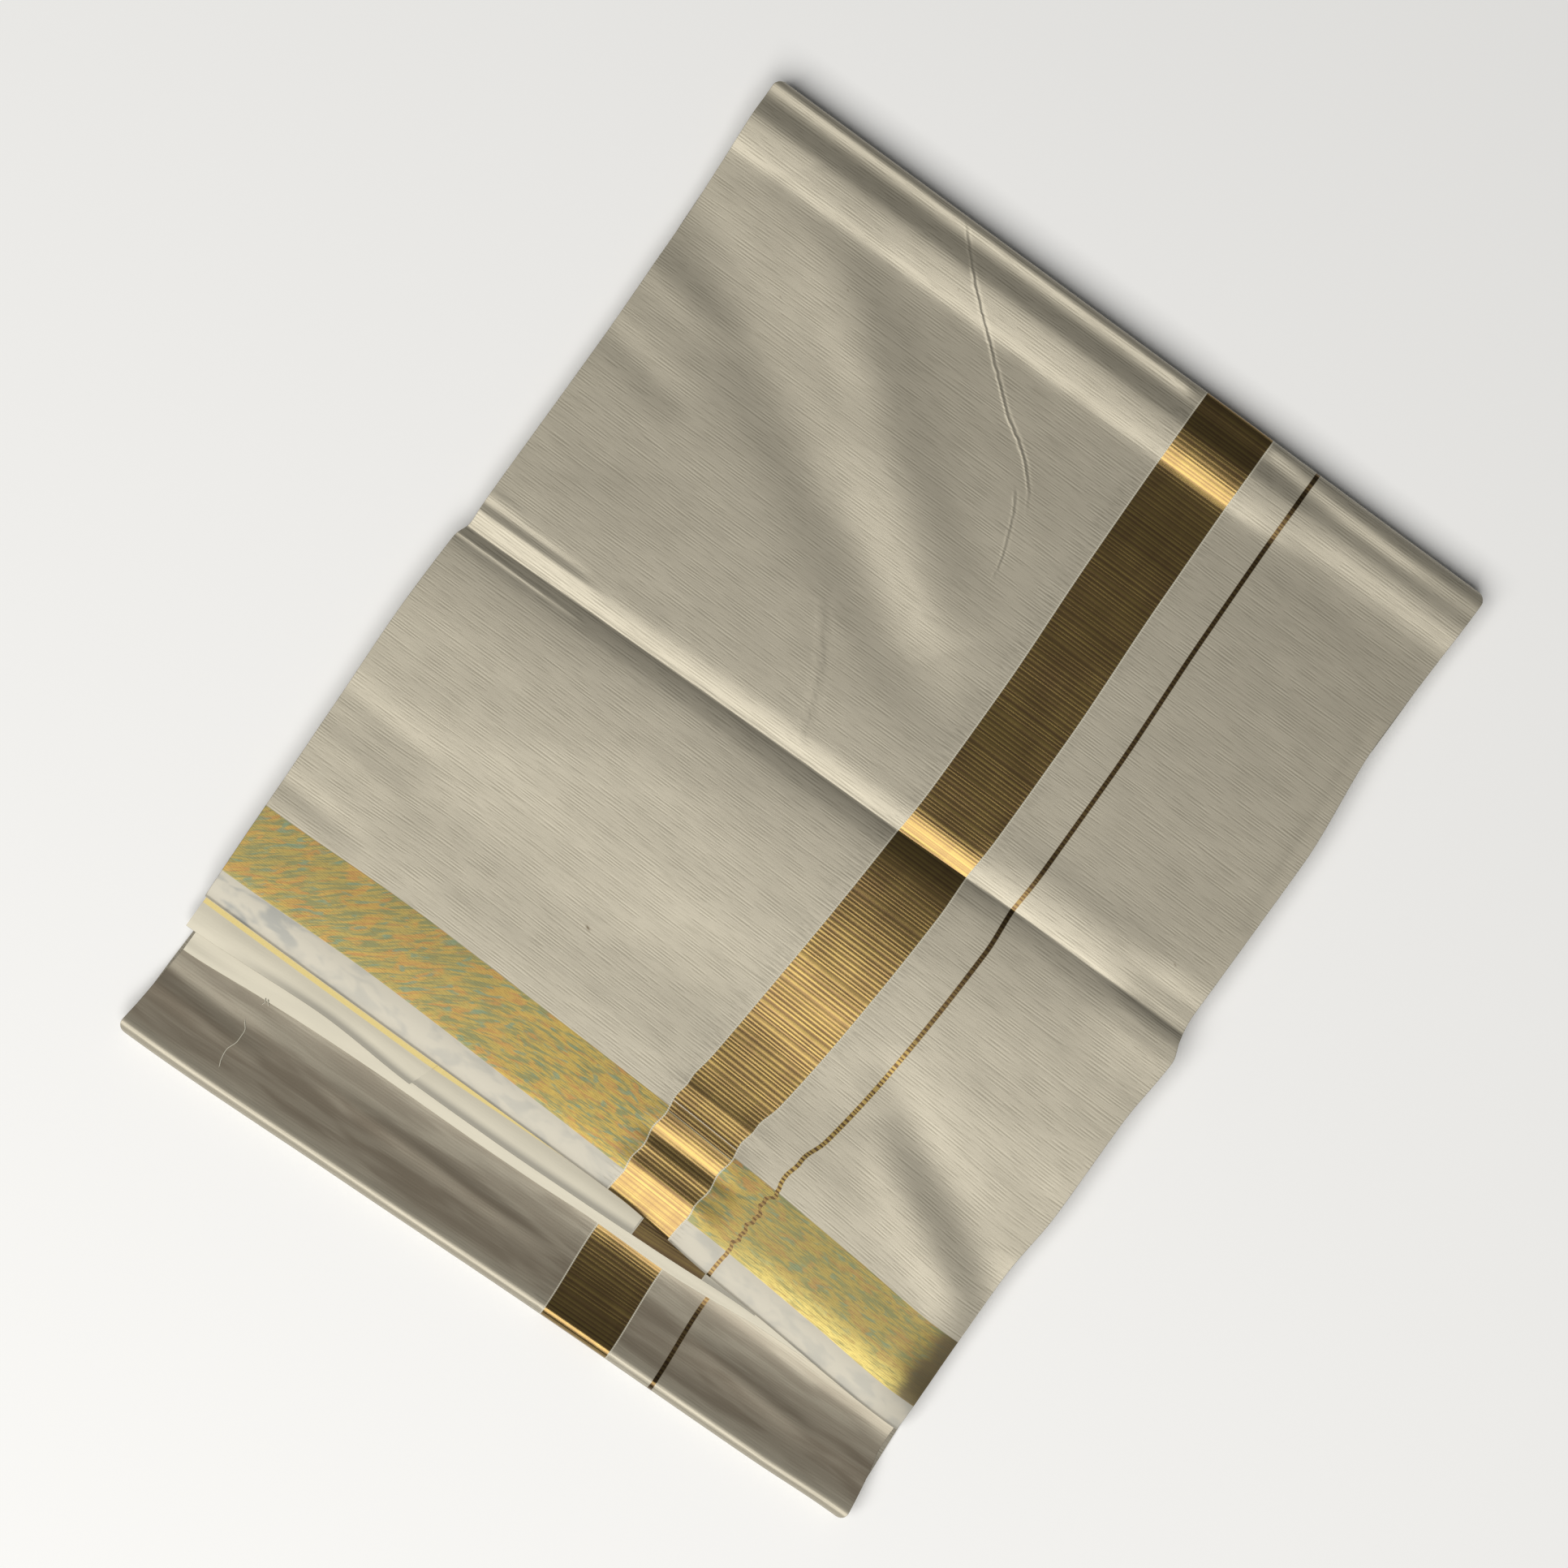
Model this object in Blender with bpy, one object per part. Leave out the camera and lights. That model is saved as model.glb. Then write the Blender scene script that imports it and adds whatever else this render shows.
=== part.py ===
"""A folded dhoti: a long tissue cloth with woven gold borders, folded to a flat bundle and laid down.

Metres, +Z up. The cloth is described in the bundle's own plan: u runs across it from the left side,
v runs down it from the top fold. X follows u, Y runs against v, and the origin is under the middle of
the bundle, on the surface that it lies on.

The outermost stretch of cloth goes once round the bundle. It starts under the flap as the lower panel,
turns round the bottom fold, runs along the back, turns round the top fold and comes down the front as
the top panel, whose lower edge is folded under. The cloth's own end sticks out there in three layers.
"""

import math
from collections import namedtuple

import bpy
import numpy as np

# Driving dimensions
CLOTH_WIDTH = 1.270          # a dhoti's loom width
LAYERS_ACROSS = 4            # the width is folded in four
PANEL_WIDTH = CLOTH_WIDTH / LAYERS_ACROSS
WALL = 0.0012                # four pressed layers of tissue cloth
END_WALL = 0.0010            # one of the layers at the cloth's end
GAP = 0.0003                 # air between pieces that lie on each other
TOP_RADIUS = 0.00565         # outside of the fold at the top edge
BOTTOM_RADIUS = 0.0036       # outside of the fold at the bottom edge
FLAP_RADIUS = 0.00135        # outside of the fold at the flap's lower edge
CORNER_RADIUS = 0.0040       # corners of the folds, seen from above
BACK_RETURN = 0.014          # how far the two folded panels run back under the bundle
STEP_RUN = 0.003             # how far the stack's step down under the flap runs out
PANEL_LENGTH = 0.0770        # from that step to the bottom fold, along the lower panel
PLAIN_LENGTH = 0.020         # the part of it by the bottom fold that isn't stretched to meet the step
SIDE_INSET = 0.0008          # inner layers stay this far inside the outer ones
EDGE_BAND = 2 * SIDE_INSET / PANEL_WIDTH   # share of the width over which a wall thins to its edge
EDGE_THIN = 0.25             # share of the wall taken off each face at its edge
END_TAPER = 0.0006           # the same band at the end of a wall
HIDDEN_LAYERS = 5            # folded layers that show on the sides of the inner stack
MIDDLE_U = 0.1636            # middle of the bundle's outline, across
MIDDLE_V = 0.2093            # middle of the bundle's outline, down
SHARP_ANGLE = math.radians(50)

CLOTH = (0.62, 0.58, 0.49)
CLOTH_SHADE = (0.55, 0.51, 0.43)

Side = namedtuple("Side", "v left right")
Line = namedtuple("Line", "u v")
Height = namedtuple("Height", "along z")
Fold = namedtuple("Fold", "u0 v0 u1 v1 width rise")
EndLayer = namedtuple("EndLayer", "name left right level edge")

# The sides of the top panel: pinched in where the crease crosses them
UPPER_SIDES = (
    Side(v=0.0000, left=0.0000, right=0.3170),
    Side(v=0.0640, left=0.0029, right=0.3161),
    Side(v=0.1180, left=0.0044, right=0.3204),
    Side(v=0.1850, left=0.0050, right=0.3208),
    Side(v=0.1950, left=0.0054, right=0.3222),
    Side(v=0.2030, left=0.0034, right=0.3246),
    Side(v=0.2310, left=0.0031, right=0.3230),
    Side(v=0.2720, left=0.0045, right=0.3235),
    Side(v=0.3000, left=0.0056, right=0.3217),
    Side(v=0.3300, left=0.0067, right=0.3223),
    Side(v=0.3700, left=0.0079, right=0.3232),
)
# The sides of the back and of the stretch that shows below the flap
LOWER_SIDES = (
    Side(v=0.0000, left=0.0000, right=0.3170),
    Side(v=0.1000, left=0.0036, right=0.3175),
    Side(v=0.2000, left=0.0055, right=0.3205),
    Side(v=0.3000, left=0.0090, right=0.3212),
    Side(v=0.3780, left=0.0124, right=0.3228),
    Side(v=0.3860, left=0.0120, right=0.3245),
    Side(v=0.4060, left=0.0108, right=0.3274),
    Side(v=0.4190, left=0.0098, right=0.3282),
)
CREASE_LINE = (
    Line(u=0.000, v=0.1978),
    Line(u=0.060, v=0.1972),
    Line(u=0.140, v=0.1950),
    Line(u=0.200, v=0.1946),
    Line(u=0.323, v=0.1936),
)
FLAP_EDGE = (
    Line(u=0.008, v=0.3611),
    Line(u=0.190, v=0.3604),
    Line(u=0.232, v=0.3640),
    Line(u=0.257, v=0.3654),
    Line(u=0.323, v=0.3690),
)
BOTTOM_FOLD = (
    Line(u=0.010, v=0.4186),
    Line(u=0.105, v=0.4154),
    Line(u=0.194, v=0.4118),
    Line(u=0.290, v=0.4090),
    Line(u=0.328, v=0.4074),
)
# The layers of the cloth's end: their spans across, the level that each lies on, and their lower edges
END_LAYERS = (
    EndLayer("end_layer_full", left=0.0124, right=0.3216, level=1, edge=(
        Line(u=0.010, v=0.3818),
        Line(u=0.045, v=0.3792),
        Line(u=0.106, v=0.3736),
        Line(u=0.191, v=0.3722),
        Line(u=0.231, v=0.3692),
        Line(u=0.258, v=0.3676),
        Line(u=0.323, v=0.3668),
    )),
    EndLayer("end_layer_left", left=0.0082, right=0.1074, level=2, edge=(
        Line(u=0.009, v=0.3739),
        Line(u=0.034, v=0.3726),
        Line(u=0.070, v=0.3708),
        Line(u=0.108, v=0.3724),
    )),
    EndLayer("end_layer_middle", left=0.1080, right=0.2576, level=2, edge=(
        Line(u=0.108, v=0.3714),
        Line(u=0.142, v=0.3710),
        Line(u=0.210, v=0.3684),
        Line(u=0.257, v=0.3660),
    )),
)

# Height of the top panel down the bundle, before the crease and the soft folds are added
TOP_HEIGHTS = (
    Height(along=0.0056, z=0.0113),
    Height(along=0.0080, z=0.0115),
    Height(along=0.0155, z=0.0130),
    Height(along=0.0330, z=0.0114),
    Height(along=0.0700, z=0.0119),
    Height(along=0.1700, z=0.0122),
    Height(along=0.1950, z=0.0122),
    Height(along=0.2200, z=0.0129),
    Height(along=0.3000, z=0.0117),
    Height(along=0.3350, z=0.0113),
    Height(along=0.3500, z=0.0109),
    Height(along=0.3610, z=0.0102),
)
# Height of the lower panel, by the distance up from the bottom fold
LOWER_HEIGHTS = (
    Height(along=0.0036, z=0.0072),
    Height(along=0.0090, z=0.0074),
    Height(along=0.0180, z=0.0064),
    Height(along=0.0280, z=0.0054),
    Height(along=0.0400, z=0.0046),
    Height(along=0.0770, z=0.0045),
)
CREASE_V = 0.1950
FLAP_V = 0.3610
STEP_ROW = 0.3332            # the top panel's station where the stack under it steps down
CREASE_DEPTH = 0.0027
CREASE_REACH_ABOVE = 0.0075
CREASE_REACH_BELOW = 0.0085
# Soft folds of the top panel: a positive rise is a ridge, a negative one a trough
SOFT_FOLDS = (
    Fold(u0=0.030, v0=0.025, u1=0.160, v1=0.136, width=0.0110, rise=0.0006),
    Fold(u0=0.006, v0=0.063, u1=0.170, v1=0.152, width=0.0120, rise=-0.0006),
    Fold(u0=0.240, v0=0.258, u1=0.322, v1=0.298, width=0.0090, rise=-0.0006),
    Fold(u0=0.250, v0=0.274, u1=0.322, v1=0.316, width=0.0080, rise=0.0005),
    Fold(u0=0.170, v0=0.3156, u1=0.236, v1=0.3156, width=0.0030, rise=0.0005),
    Fold(u0=0.170, v0=0.3244, u1=0.236, v1=0.3244, width=0.0030, rise=0.0005),
    Fold(u0=0.170, v0=0.3345, u1=0.236, v1=0.3345, width=0.0035, rise=-0.0004),
    Fold(u0=0.170, v0=0.3440, u1=0.236, v1=0.3440, width=0.0035, rise=0.0004),
)

# Stations of the walls: shares of the width, and distances down the bundle or up from its bottom fold
COLUMNS = (
    0, EDGE_BAND, 0.06, 0.14, 0.22, 0.30, 0.38, 0.46, 0.53, 0.57, 0.61, 0.65, 0.69, 0.73, 0.80, 0.88, 0.95,
    1 - EDGE_BAND, 1,
)
RIDGE_ROWS = (0.0090, 0.0125, 0.0155, 0.0190, 0.0240, 0.0310)
UPPER_ROWS = (0.042, 0.058, 0.074, 0.090, 0.106, 0.122, 0.138, 0.154, 0.170, 0.180)
CREASE_ROWS = (0.1870, 0.1915, CREASE_V, 0.1985, 0.2030, 0.2090)
LOWER_ROWS = (0.218, 0.234, 0.250, 0.266, 0.282, 0.296, 0.306)
RIPPLE_SPACING = 0.0032
RIPPLE_ROWS = tuple(STEP_ROW - RIPPLE_SPACING * i for i in range(7, -1, -1))
FLAP_ROWS = (0.3365, 0.3405, 0.3440, 0.3485, 0.3535, 0.3575, FLAP_V - FLAP_RADIUS)
FLAP_RETURN_ROWS = (*reversed(FLAP_ROWS[1:]), FLAP_ROWS[0] + END_TAPER, FLAP_ROWS[0])
LOWER_PANEL_ROWS = (
    PANEL_LENGTH, PANEL_LENGTH - END_TAPER, 0.062, 0.047, 0.040, 0.034, 0.028, 0.023, 0.018, 0.013, 0.009,
)
ARC_STEPS = 8
FLAP_ARC_STEPS = 4
END_DEPTHS = (0.0, 0.02, 0.3, 0.6, 0.8, 0.985, 1.0)
BACK_SHARES = (0, EDGE_BAND, 0.25, 0.5, 0.75, 1 - EDGE_BAND, 1)
BACK_DEPTHS = (0, 0.0015, 0.17, 0.33, 0.5, 0.67, 0.83, 0.9985, 1)


def curve_through(points):
    """A smooth function through (x, y) points that never overshoots them, level beyond the ends."""
    xs = np.array([p[0] for p in points])
    ys = np.array([p[1] for p in points])
    steps = np.diff(xs)
    rates = np.diff(ys) / steps
    slopes = np.zeros(len(xs))
    for i in range(1, len(xs) - 1):
        if rates[i - 1] * rates[i] > 0:
            slopes[i] = 2 * rates[i - 1] * rates[i] / (rates[i - 1] + rates[i])

    def value(x):
        x = min(max(x, xs[0]), xs[-1])
        i = min(max(int(np.searchsorted(xs, x)) - 1, 0), len(steps) - 1)
        t = (x - xs[i]) / steps[i]
        start = ys[i] * (1 + 2 * t) * (1 - t) ** 2 + slopes[i] * steps[i] * t * (1 - t) ** 2
        end = ys[i + 1] * t * t * (3 - 2 * t) + slopes[i + 1] * steps[i] * t * t * (t - 1)
        return float(start + end)

    return value


upper_left = curve_through([(s.v, s.left) for s in UPPER_SIDES])
upper_right = curve_through([(s.v, s.right) for s in UPPER_SIDES])
lower_left = curve_through([(s.v, s.left) for s in LOWER_SIDES])
lower_right = curve_through([(s.v, s.right) for s in LOWER_SIDES])
crease_v = curve_through(CREASE_LINE)
flap_v = curve_through(FLAP_EDGE)
bottom_v = curve_through(BOTTOM_FOLD)
top_height = curve_through(TOP_HEIGHTS)
lower_height = curve_through(LOWER_HEIGHTS)


def place(u, v, z):
    """A point of the plan and its height, in the bundle's frame."""
    return (u - MIDDLE_U, MIDDLE_V - v, z)


def between(low, high, share):
    return low + (high - low) * share


def corner_inset(distance):
    """How far a rounded corner draws in a side, at this distance from the fold."""
    reach = CORNER_RADIUS - min(max(distance, 0.0), CORNER_RADIUS)
    return CORNER_RADIUS - math.sqrt(CORNER_RADIUS**2 - reach**2)


def row_v(u, row):
    """Where a station's row runs on the top panel: the rows bend to the crease and to the flap's edge."""
    if row <= CREASE_V:
        return row * crease_v(u) / CREASE_V
    return between(crease_v(u), flap_v(u), (row - CREASE_V) / (FLAP_V - CREASE_V))


def upper_point(share, row):
    """Plan position of a station on the top panel."""
    v = row_v(between(upper_left(row), upper_right(row), share), row)
    inset = corner_inset(v)
    return between(upper_left(v) + inset, upper_right(v) - inset, share), v


def panel_start(u):
    """Where the lower panel starts under the flap, past the stack's step."""
    return row_v(u, STEP_ROW) + STEP_RUN


def stretch_at(u):
    """How much longer than its plain size the lower panel's upper part is here."""
    return (bottom_v(u) - panel_start(u) - PLAIN_LENGTH) / (PANEL_LENGTH - PLAIN_LENGTH)


def lower_v(u, distance):
    """Where a station runs on the lower panel, at a distance up from the bottom fold."""
    past = max(0.0, distance - PLAIN_LENGTH)
    return bottom_v(u) - (distance - past) - past * stretch_at(u)


def lower_point(share, distance):
    """Plan position of a station on the lower panel."""
    v = lower_v(between(LOWER_SIDES[-1].left, LOWER_SIDES[-1].right, share), distance)
    inset = corner_inset(distance)
    return between(lower_left(v) + inset, lower_right(v) - inset, share), v


def soft_fold(fold, u, v):
    """The rise of one soft fold at a point: round across its line, and fading out at both ends."""
    run_u, run_v = fold.u1 - fold.u0, fold.v1 - fold.v0
    length = math.hypot(run_u, run_v)
    along = ((u - fold.u0) * run_u + (v - fold.v0) * run_v) / length**2
    across = ((u - fold.u0) * run_v - (v - fold.v0) * run_u) / length
    fade = max(0.0, 1 - (2 * along - 1) ** 4)
    return fold.rise * fade * math.exp(-((across / fold.width) ** 2))


def top_surface(u, v, row):
    """Height of the top panel's outer face."""
    past_crease = v - crease_v(u)
    reach = CREASE_REACH_ABOVE if past_crease < 0 else CREASE_REACH_BELOW
    z = top_height(row) - CREASE_DEPTH * math.exp(-abs(past_crease) / reach)
    return z + sum(soft_fold(fold, u, v) for fold in SOFT_FOLDS)


def lower_surface(u, v):
    """Height of the lower panel's outer face."""
    up = bottom_v(u) - v
    past = max(0.0, up - PLAIN_LENGTH)
    return lower_height(up - past + past / stretch_at(u))


def fold_arc(radius, wall, steps):
    """Points round a fold, from the top face down: (outer, inner) pairs of distance in and height from its middle."""
    arc = []
    for i in range(1, steps):
        turn = math.pi / 2 - math.pi * i / steps
        pair = [(radius - r * math.cos(turn), r * math.sin(turn)) for r in (radius, radius - wall)]
        arc.append(pair)
    return arc


def cloth_material(name, colour):
    material = bpy.data.materials.new(name)
    material.use_nodes = True
    shader = material.node_tree.nodes["Principled BSDF"]
    shader.inputs["Base Color"].default_value = (*colour, 1.0)
    shader.inputs["Roughness"].default_value = 0.5
    shader.inputs["Metallic"].default_value = 0.3
    return material


def add_object(name, points, faces, material):
    mesh = bpy.data.meshes.new(name)
    mesh.from_pydata(points, [], faces)
    mesh.update()
    mesh.shade_smooth()
    mesh.set_sharp_from_angle(angle=SHARP_ANGLE)
    mesh.materials.append(material)
    bpy.context.scene.collection.objects.link(bpy.data.objects.new(name, mesh))


def border_of(rows, columns):
    """The (row, column) stations round the edge of a grid, in order."""
    first = [(0, c) for c in range(columns - 1)]
    right = [(r, columns - 1) for r in range(rows - 1)]
    last = [(rows - 1, c) for c in range(columns - 1, 0, -1)]
    left = [(r, 0) for r in range(rows - 1, 0, -1)]
    return first + right + last + left


def grid_faces(rows, columns):
    """The triangles of a grid of points, facing up where its rows run down the bundle."""
    corners = [(r * columns + c, (r + 1) * columns + c) for r in range(rows - 1) for c in range(columns - 1)]
    return [half for a, b in corners for half in ((a, b, b + 1), (a, b + 1, a + 1))]


def add_wall(name, outer, inner, material):
    """A closed wall between two grids of points, whose faces draw together at its edges."""
    rows, columns = len(outer), len(outer[0])
    border = border_of(rows, columns)
    for r, c in border:
        a, b = np.array(outer[r][c]), np.array(inner[r][c])
        outer[r][c] = tuple(a + (b - a) * EDGE_THIN)
        inner[r][c] = tuple(b + (a - b) * EDGE_THIN)
    under = rows * columns
    points = [p for row in outer for p in row] + [p for row in inner for p in row]
    faces = grid_faces(rows, columns)
    faces += [tuple(under + i for i in reversed(face)) for face in faces]
    loop = [r * columns + c for r, c in border]
    faces += [(a, b, under + b, under + a) for a, b in zip(loop, loop[1:] + loop[:1])]
    add_object(name, points, faces, material)


def build_top_panel(material):
    """From under the bundle, round the top fold and over the crease, to the edge that is folded under."""
    outer, inner = [], []

    def add_level_row(row, z_outer, z_inner):
        line = [upper_point(share, row) for share in COLUMNS]
        outer.append([place(u, v, z_outer) for u, v in line])
        inner.append([place(u, v, z_inner) for u, v in line])

    def add_surface_row(out_row, out_drop, in_row, in_drop):
        for grid, row, drop in ((outer, out_row, out_drop), (inner, in_row, in_drop)):
            line = [upper_point(share, row) for share in COLUMNS]
            grid.append([place(u, v, top_surface(u, v, row) - drop) for u, v in line])

    for row in (BACK_RETURN, BACK_RETURN - END_TAPER, TOP_RADIUS):
        add_level_row(row, 0.0, WALL)
    for out, into in reversed(fold_arc(TOP_RADIUS, WALL, ARC_STEPS)):
        outer.append([place(*upper_point(share, out[0]), TOP_RADIUS + out[1]) for share in COLUMNS])
        inner.append([place(*upper_point(share, into[0]), TOP_RADIUS + into[1]) for share in COLUMNS])
    for row in top_rows():
        add_surface_row(row, 0.0, row, WALL)
    for out, into in fold_arc(FLAP_RADIUS, WALL, FLAP_ARC_STEPS):
        add_surface_row(FLAP_V - out[0], FLAP_RADIUS - out[1], FLAP_V - into[0], FLAP_RADIUS - into[1])
    for row in FLAP_RETURN_ROWS:
        add_surface_row(row, 2 * FLAP_RADIUS, row, 2 * FLAP_RADIUS - WALL)
    add_wall("top_panel", outer, inner, material)


def top_rows():
    """Stations down the front of the top panel, from the top fold to the flap's fold."""
    return (TOP_RADIUS, *RIDGE_ROWS, *UPPER_ROWS, *CREASE_ROWS, *LOWER_ROWS, *RIPPLE_ROWS, *FLAP_ROWS)


def build_lower_panel(material):
    """The stretch that shows below the flap: from under it, round the bottom fold to the back."""
    outer, inner = [], []
    for distance in (*LOWER_PANEL_ROWS, BOTTOM_RADIUS):
        line = [lower_point(share, distance) for share in COLUMNS]
        z = lower_height(distance)
        outer.append([place(u, v, z) for u, v in line])
        inner.append([place(u, v, z - WALL) for u, v in line])
    for out, into in fold_arc(BOTTOM_RADIUS, WALL, ARC_STEPS):
        outer.append([place(*lower_point(share, out[0]), BOTTOM_RADIUS + out[1]) for share in COLUMNS])
        inner.append([place(*lower_point(share, into[0]), BOTTOM_RADIUS + into[1]) for share in COLUMNS])
    for distance in (BOTTOM_RADIUS, BACK_RETURN - END_TAPER, BACK_RETURN):
        line = [lower_point(share, distance) for share in COLUMNS]
        outer.append([place(u, v, 0.0) for u, v in line])
        inner.append([place(u, v, WALL) for u, v in line])
    add_wall("lower_panel", outer, inner, material)


def build_end_layer(layer, material):
    """One layer of the cloth's end: a flat wall that comes out from under the flap and stops at its edge."""
    edge_v = curve_through(layer.edge)
    pieces = 3 + round((layer.right - layer.left) / 0.030)
    shares = (0, 0.004, *(i / pieces for i in range(1, pieces)), 0.996, 1)
    lift = layer.level * (GAP + END_WALL)
    outer, inner = [], []
    for depth in END_DEPTHS:
        line = []
        for share in shares:
            u = between(layer.left, layer.right, share)
            line.append((u, between(panel_start(u) + STEP_RUN / 2, edge_v(u), depth)))
        heights = [lower_surface(u, v) + lift for u, v in line]
        outer.append([place(u, v, z) for (u, v), z in zip(line, heights)])
        inner.append([place(u, v, z - END_WALL) for (u, v), z in zip(line, heights)])
    add_wall(layer.name, outer, inner, material)


def build_back_panel(material):
    """The stretch that the bundle lies on, between the returns of the two folded panels."""
    first = BACK_RETURN + GAP
    outer, inner = [], []
    for depth in BACK_DEPTHS:
        line = []
        for share in BACK_SHARES:
            u_end = between(LOWER_SIDES[-1].left, LOWER_SIDES[-1].right, share)
            v = between(first, lower_v(u_end, BACK_RETURN + GAP), depth)
            line.append((between(lower_left(v) + SIDE_INSET, lower_right(v) - SIDE_INSET, share), v))
        outer.append([place(u, v, WALL) for u, v in line])
        inner.append([place(u, v, 0.0) for u, v in line])
    add_wall("back_panel", outer, inner, material)


def stack_top():
    """Points on top of the hidden layers: under the top panel, then down a step and under the lower panel."""
    depth = WALL + GAP
    shares = COLUMNS[1:-1]
    grid = []
    for row in top_rows():
        if row <= STEP_ROW:
            line = [upper_point(share, row) for share in shares]
            grid.append([place(u, v, top_surface(u, v, row) - depth) for u, v in line])
    for distance in (*LOWER_PANEL_ROWS, BOTTOM_RADIUS):
        line = [lower_point(share, distance) for share in shares]
        grid.append([place(u, v, lower_height(distance) - depth) for u, v in line])
    return grid


def build_hidden_layers(material):
    """All the cloth inside the bundle as one solid, with its folded layers standing out along the sides."""
    grid = stack_top()
    rows, columns = len(grid), len(grid[0])
    floor = WALL + GAP
    levels = 2 * HIDDEN_LAYERS
    points = [p for row in grid for p in row]
    faces = grid_faces(rows, columns)
    border = border_of(rows, columns)
    ring = [r * columns + c for r, c in border]
    for level in range(1, levels + 1):
        share = level / levels
        nose = math.sqrt(max(0.0, 1 - (1 - 2 * share) ** 2))
        reach = SIDE_INSET if level % 2 else 0.2 * SIDE_INSET
        start = len(points)
        for r, c in border:
            x, y, top = grid[r][c]
            x += reach * ((c == columns - 1) - (c == 0))
            if r in (0, rows - 1):
                fold = TOP_RADIUS if r == 0 else BOTTOM_RADIUS
                out = nose * (fold - WALL - GAP)
                x *= 1 - corner_inset(fold - out) / (PANEL_WIDTH / 2)
                y += out if r == 0 else -out
            points.append((x, y, between(top, floor, share)))
        below = list(range(start, len(points)))
        faces += [
            (a, b, d, c)
            for a, b, c, d in zip(ring, ring[1:] + ring[:1], below, below[1:] + below[:1])
        ]
        ring = below
    faces.append(tuple(ring))
    add_object("hidden_layers", points, faces, material)


def main():
    for old in list(bpy.data.objects):
        bpy.data.objects.remove(old)
    cloth = cloth_material("tissue_cloth", CLOTH)
    inside = cloth_material("tissue_cloth_inside", CLOTH_SHADE)
    build_top_panel(cloth)
    build_lower_panel(cloth)
    build_back_panel(cloth)
    for layer in END_LAYERS:
        build_end_layer(layer, cloth)
    build_hidden_layers(inside)


main()
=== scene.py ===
"""Looks of a folded dhoti: tissue cloth with woven gold bands, pressed flat, folded and laid down.

Metres, +Z up, in the frame of the solids. The bundle is described in its own plan, as the solids are: u runs
across it from the left side and v runs down it from the top fold. X follows u and Y runs against v.
"""

import math
from collections import namedtuple

import bpy
import numpy as np
from mathutils import Matrix


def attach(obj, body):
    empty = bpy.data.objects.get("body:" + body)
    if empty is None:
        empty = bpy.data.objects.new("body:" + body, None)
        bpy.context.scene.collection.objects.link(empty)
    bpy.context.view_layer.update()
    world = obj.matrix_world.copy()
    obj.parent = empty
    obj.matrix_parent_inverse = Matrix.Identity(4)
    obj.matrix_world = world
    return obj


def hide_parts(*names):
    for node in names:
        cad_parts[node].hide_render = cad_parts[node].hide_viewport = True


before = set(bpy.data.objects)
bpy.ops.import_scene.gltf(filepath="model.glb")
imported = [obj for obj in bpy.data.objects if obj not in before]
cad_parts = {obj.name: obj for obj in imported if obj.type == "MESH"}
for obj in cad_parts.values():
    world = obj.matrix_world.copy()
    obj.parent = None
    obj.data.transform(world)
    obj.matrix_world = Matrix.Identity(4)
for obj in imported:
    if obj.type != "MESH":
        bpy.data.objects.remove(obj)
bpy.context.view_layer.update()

MM = 0.001

# The bundle's own sizes, as its solids have them
WALL = 0.0012
END_WALL = 0.0010
GAP = 0.0003
TOP_RADIUS = 0.00565
BOTTOM_RADIUS = 0.0036
FLAP_RADIUS = 0.00135
CORNER_RADIUS = 0.0040
BACK_RETURN = 0.014
STEP_RUN = 0.003
PANEL_LENGTH = 0.0770
PLAIN_LENGTH = 0.020
MIDDLE_U = 0.1636
MIDDLE_V = 0.2093
CREASE_V = 0.1950
FLAP_V = 0.3610
STEP_ROW = 0.3332
FLAP_RETURN_ROW = 0.3365
FOLD_UNDER = 0.0022
SEAM_SLANT = -0.377

Side = namedtuple("Side", "v left right")
Line = namedtuple("Line", "u v")
Height = namedtuple("Height", "along z")
Fold = namedtuple("Fold", "u0 v0 u1 v1 width rise")
EndLayer = namedtuple("EndLayer", "name left right level edge")
Wrinkle = namedtuple("Wrinkle", "name depth width line")


def table(kind, rows):
    """A table whose rows give the columns of one kind, in its order and in millimetres."""
    return tuple(kind(*(number * MM for number in row)) for row in rows)


UPPER_SIDES = table(Side, (
    (0, 0, 317), (64, 2.9, 316.1), (118, 4.4, 320.4), (185, 5, 320.8), (195, 5.4, 322.2),
    (203, 3.4, 324.6), (231, 3.1, 323), (272, 4.5, 323.5), (300, 5.6, 321.7), (330, 6.7, 322.3),
    (370, 7.9, 323.2),
))
LOWER_SIDES = table(Side, (
    (0, 0, 317), (100, 3.6, 317.5), (200, 5.5, 320.5), (300, 9, 321.2), (378, 12.4, 322.8),
    (386, 12, 324.5), (406, 10.8, 327.4), (419, 9.8, 328.2),
))
CREASE_LINE = table(Line, (
    (0, 197.2), (60, 196), (140, 194.4), (200, 193.7), (264, 192.3), (323, 192.5),
))
FLAP_EDGE = table(Line, (
    (8, 361.1), (190, 360.4), (232, 364), (257, 365.4), (323, 369),
))
BOTTOM_FOLD = table(Line, (
    (10, 418.6), (105, 415.4), (194, 411.8), (290, 409), (328, 407.4),
))
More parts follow.
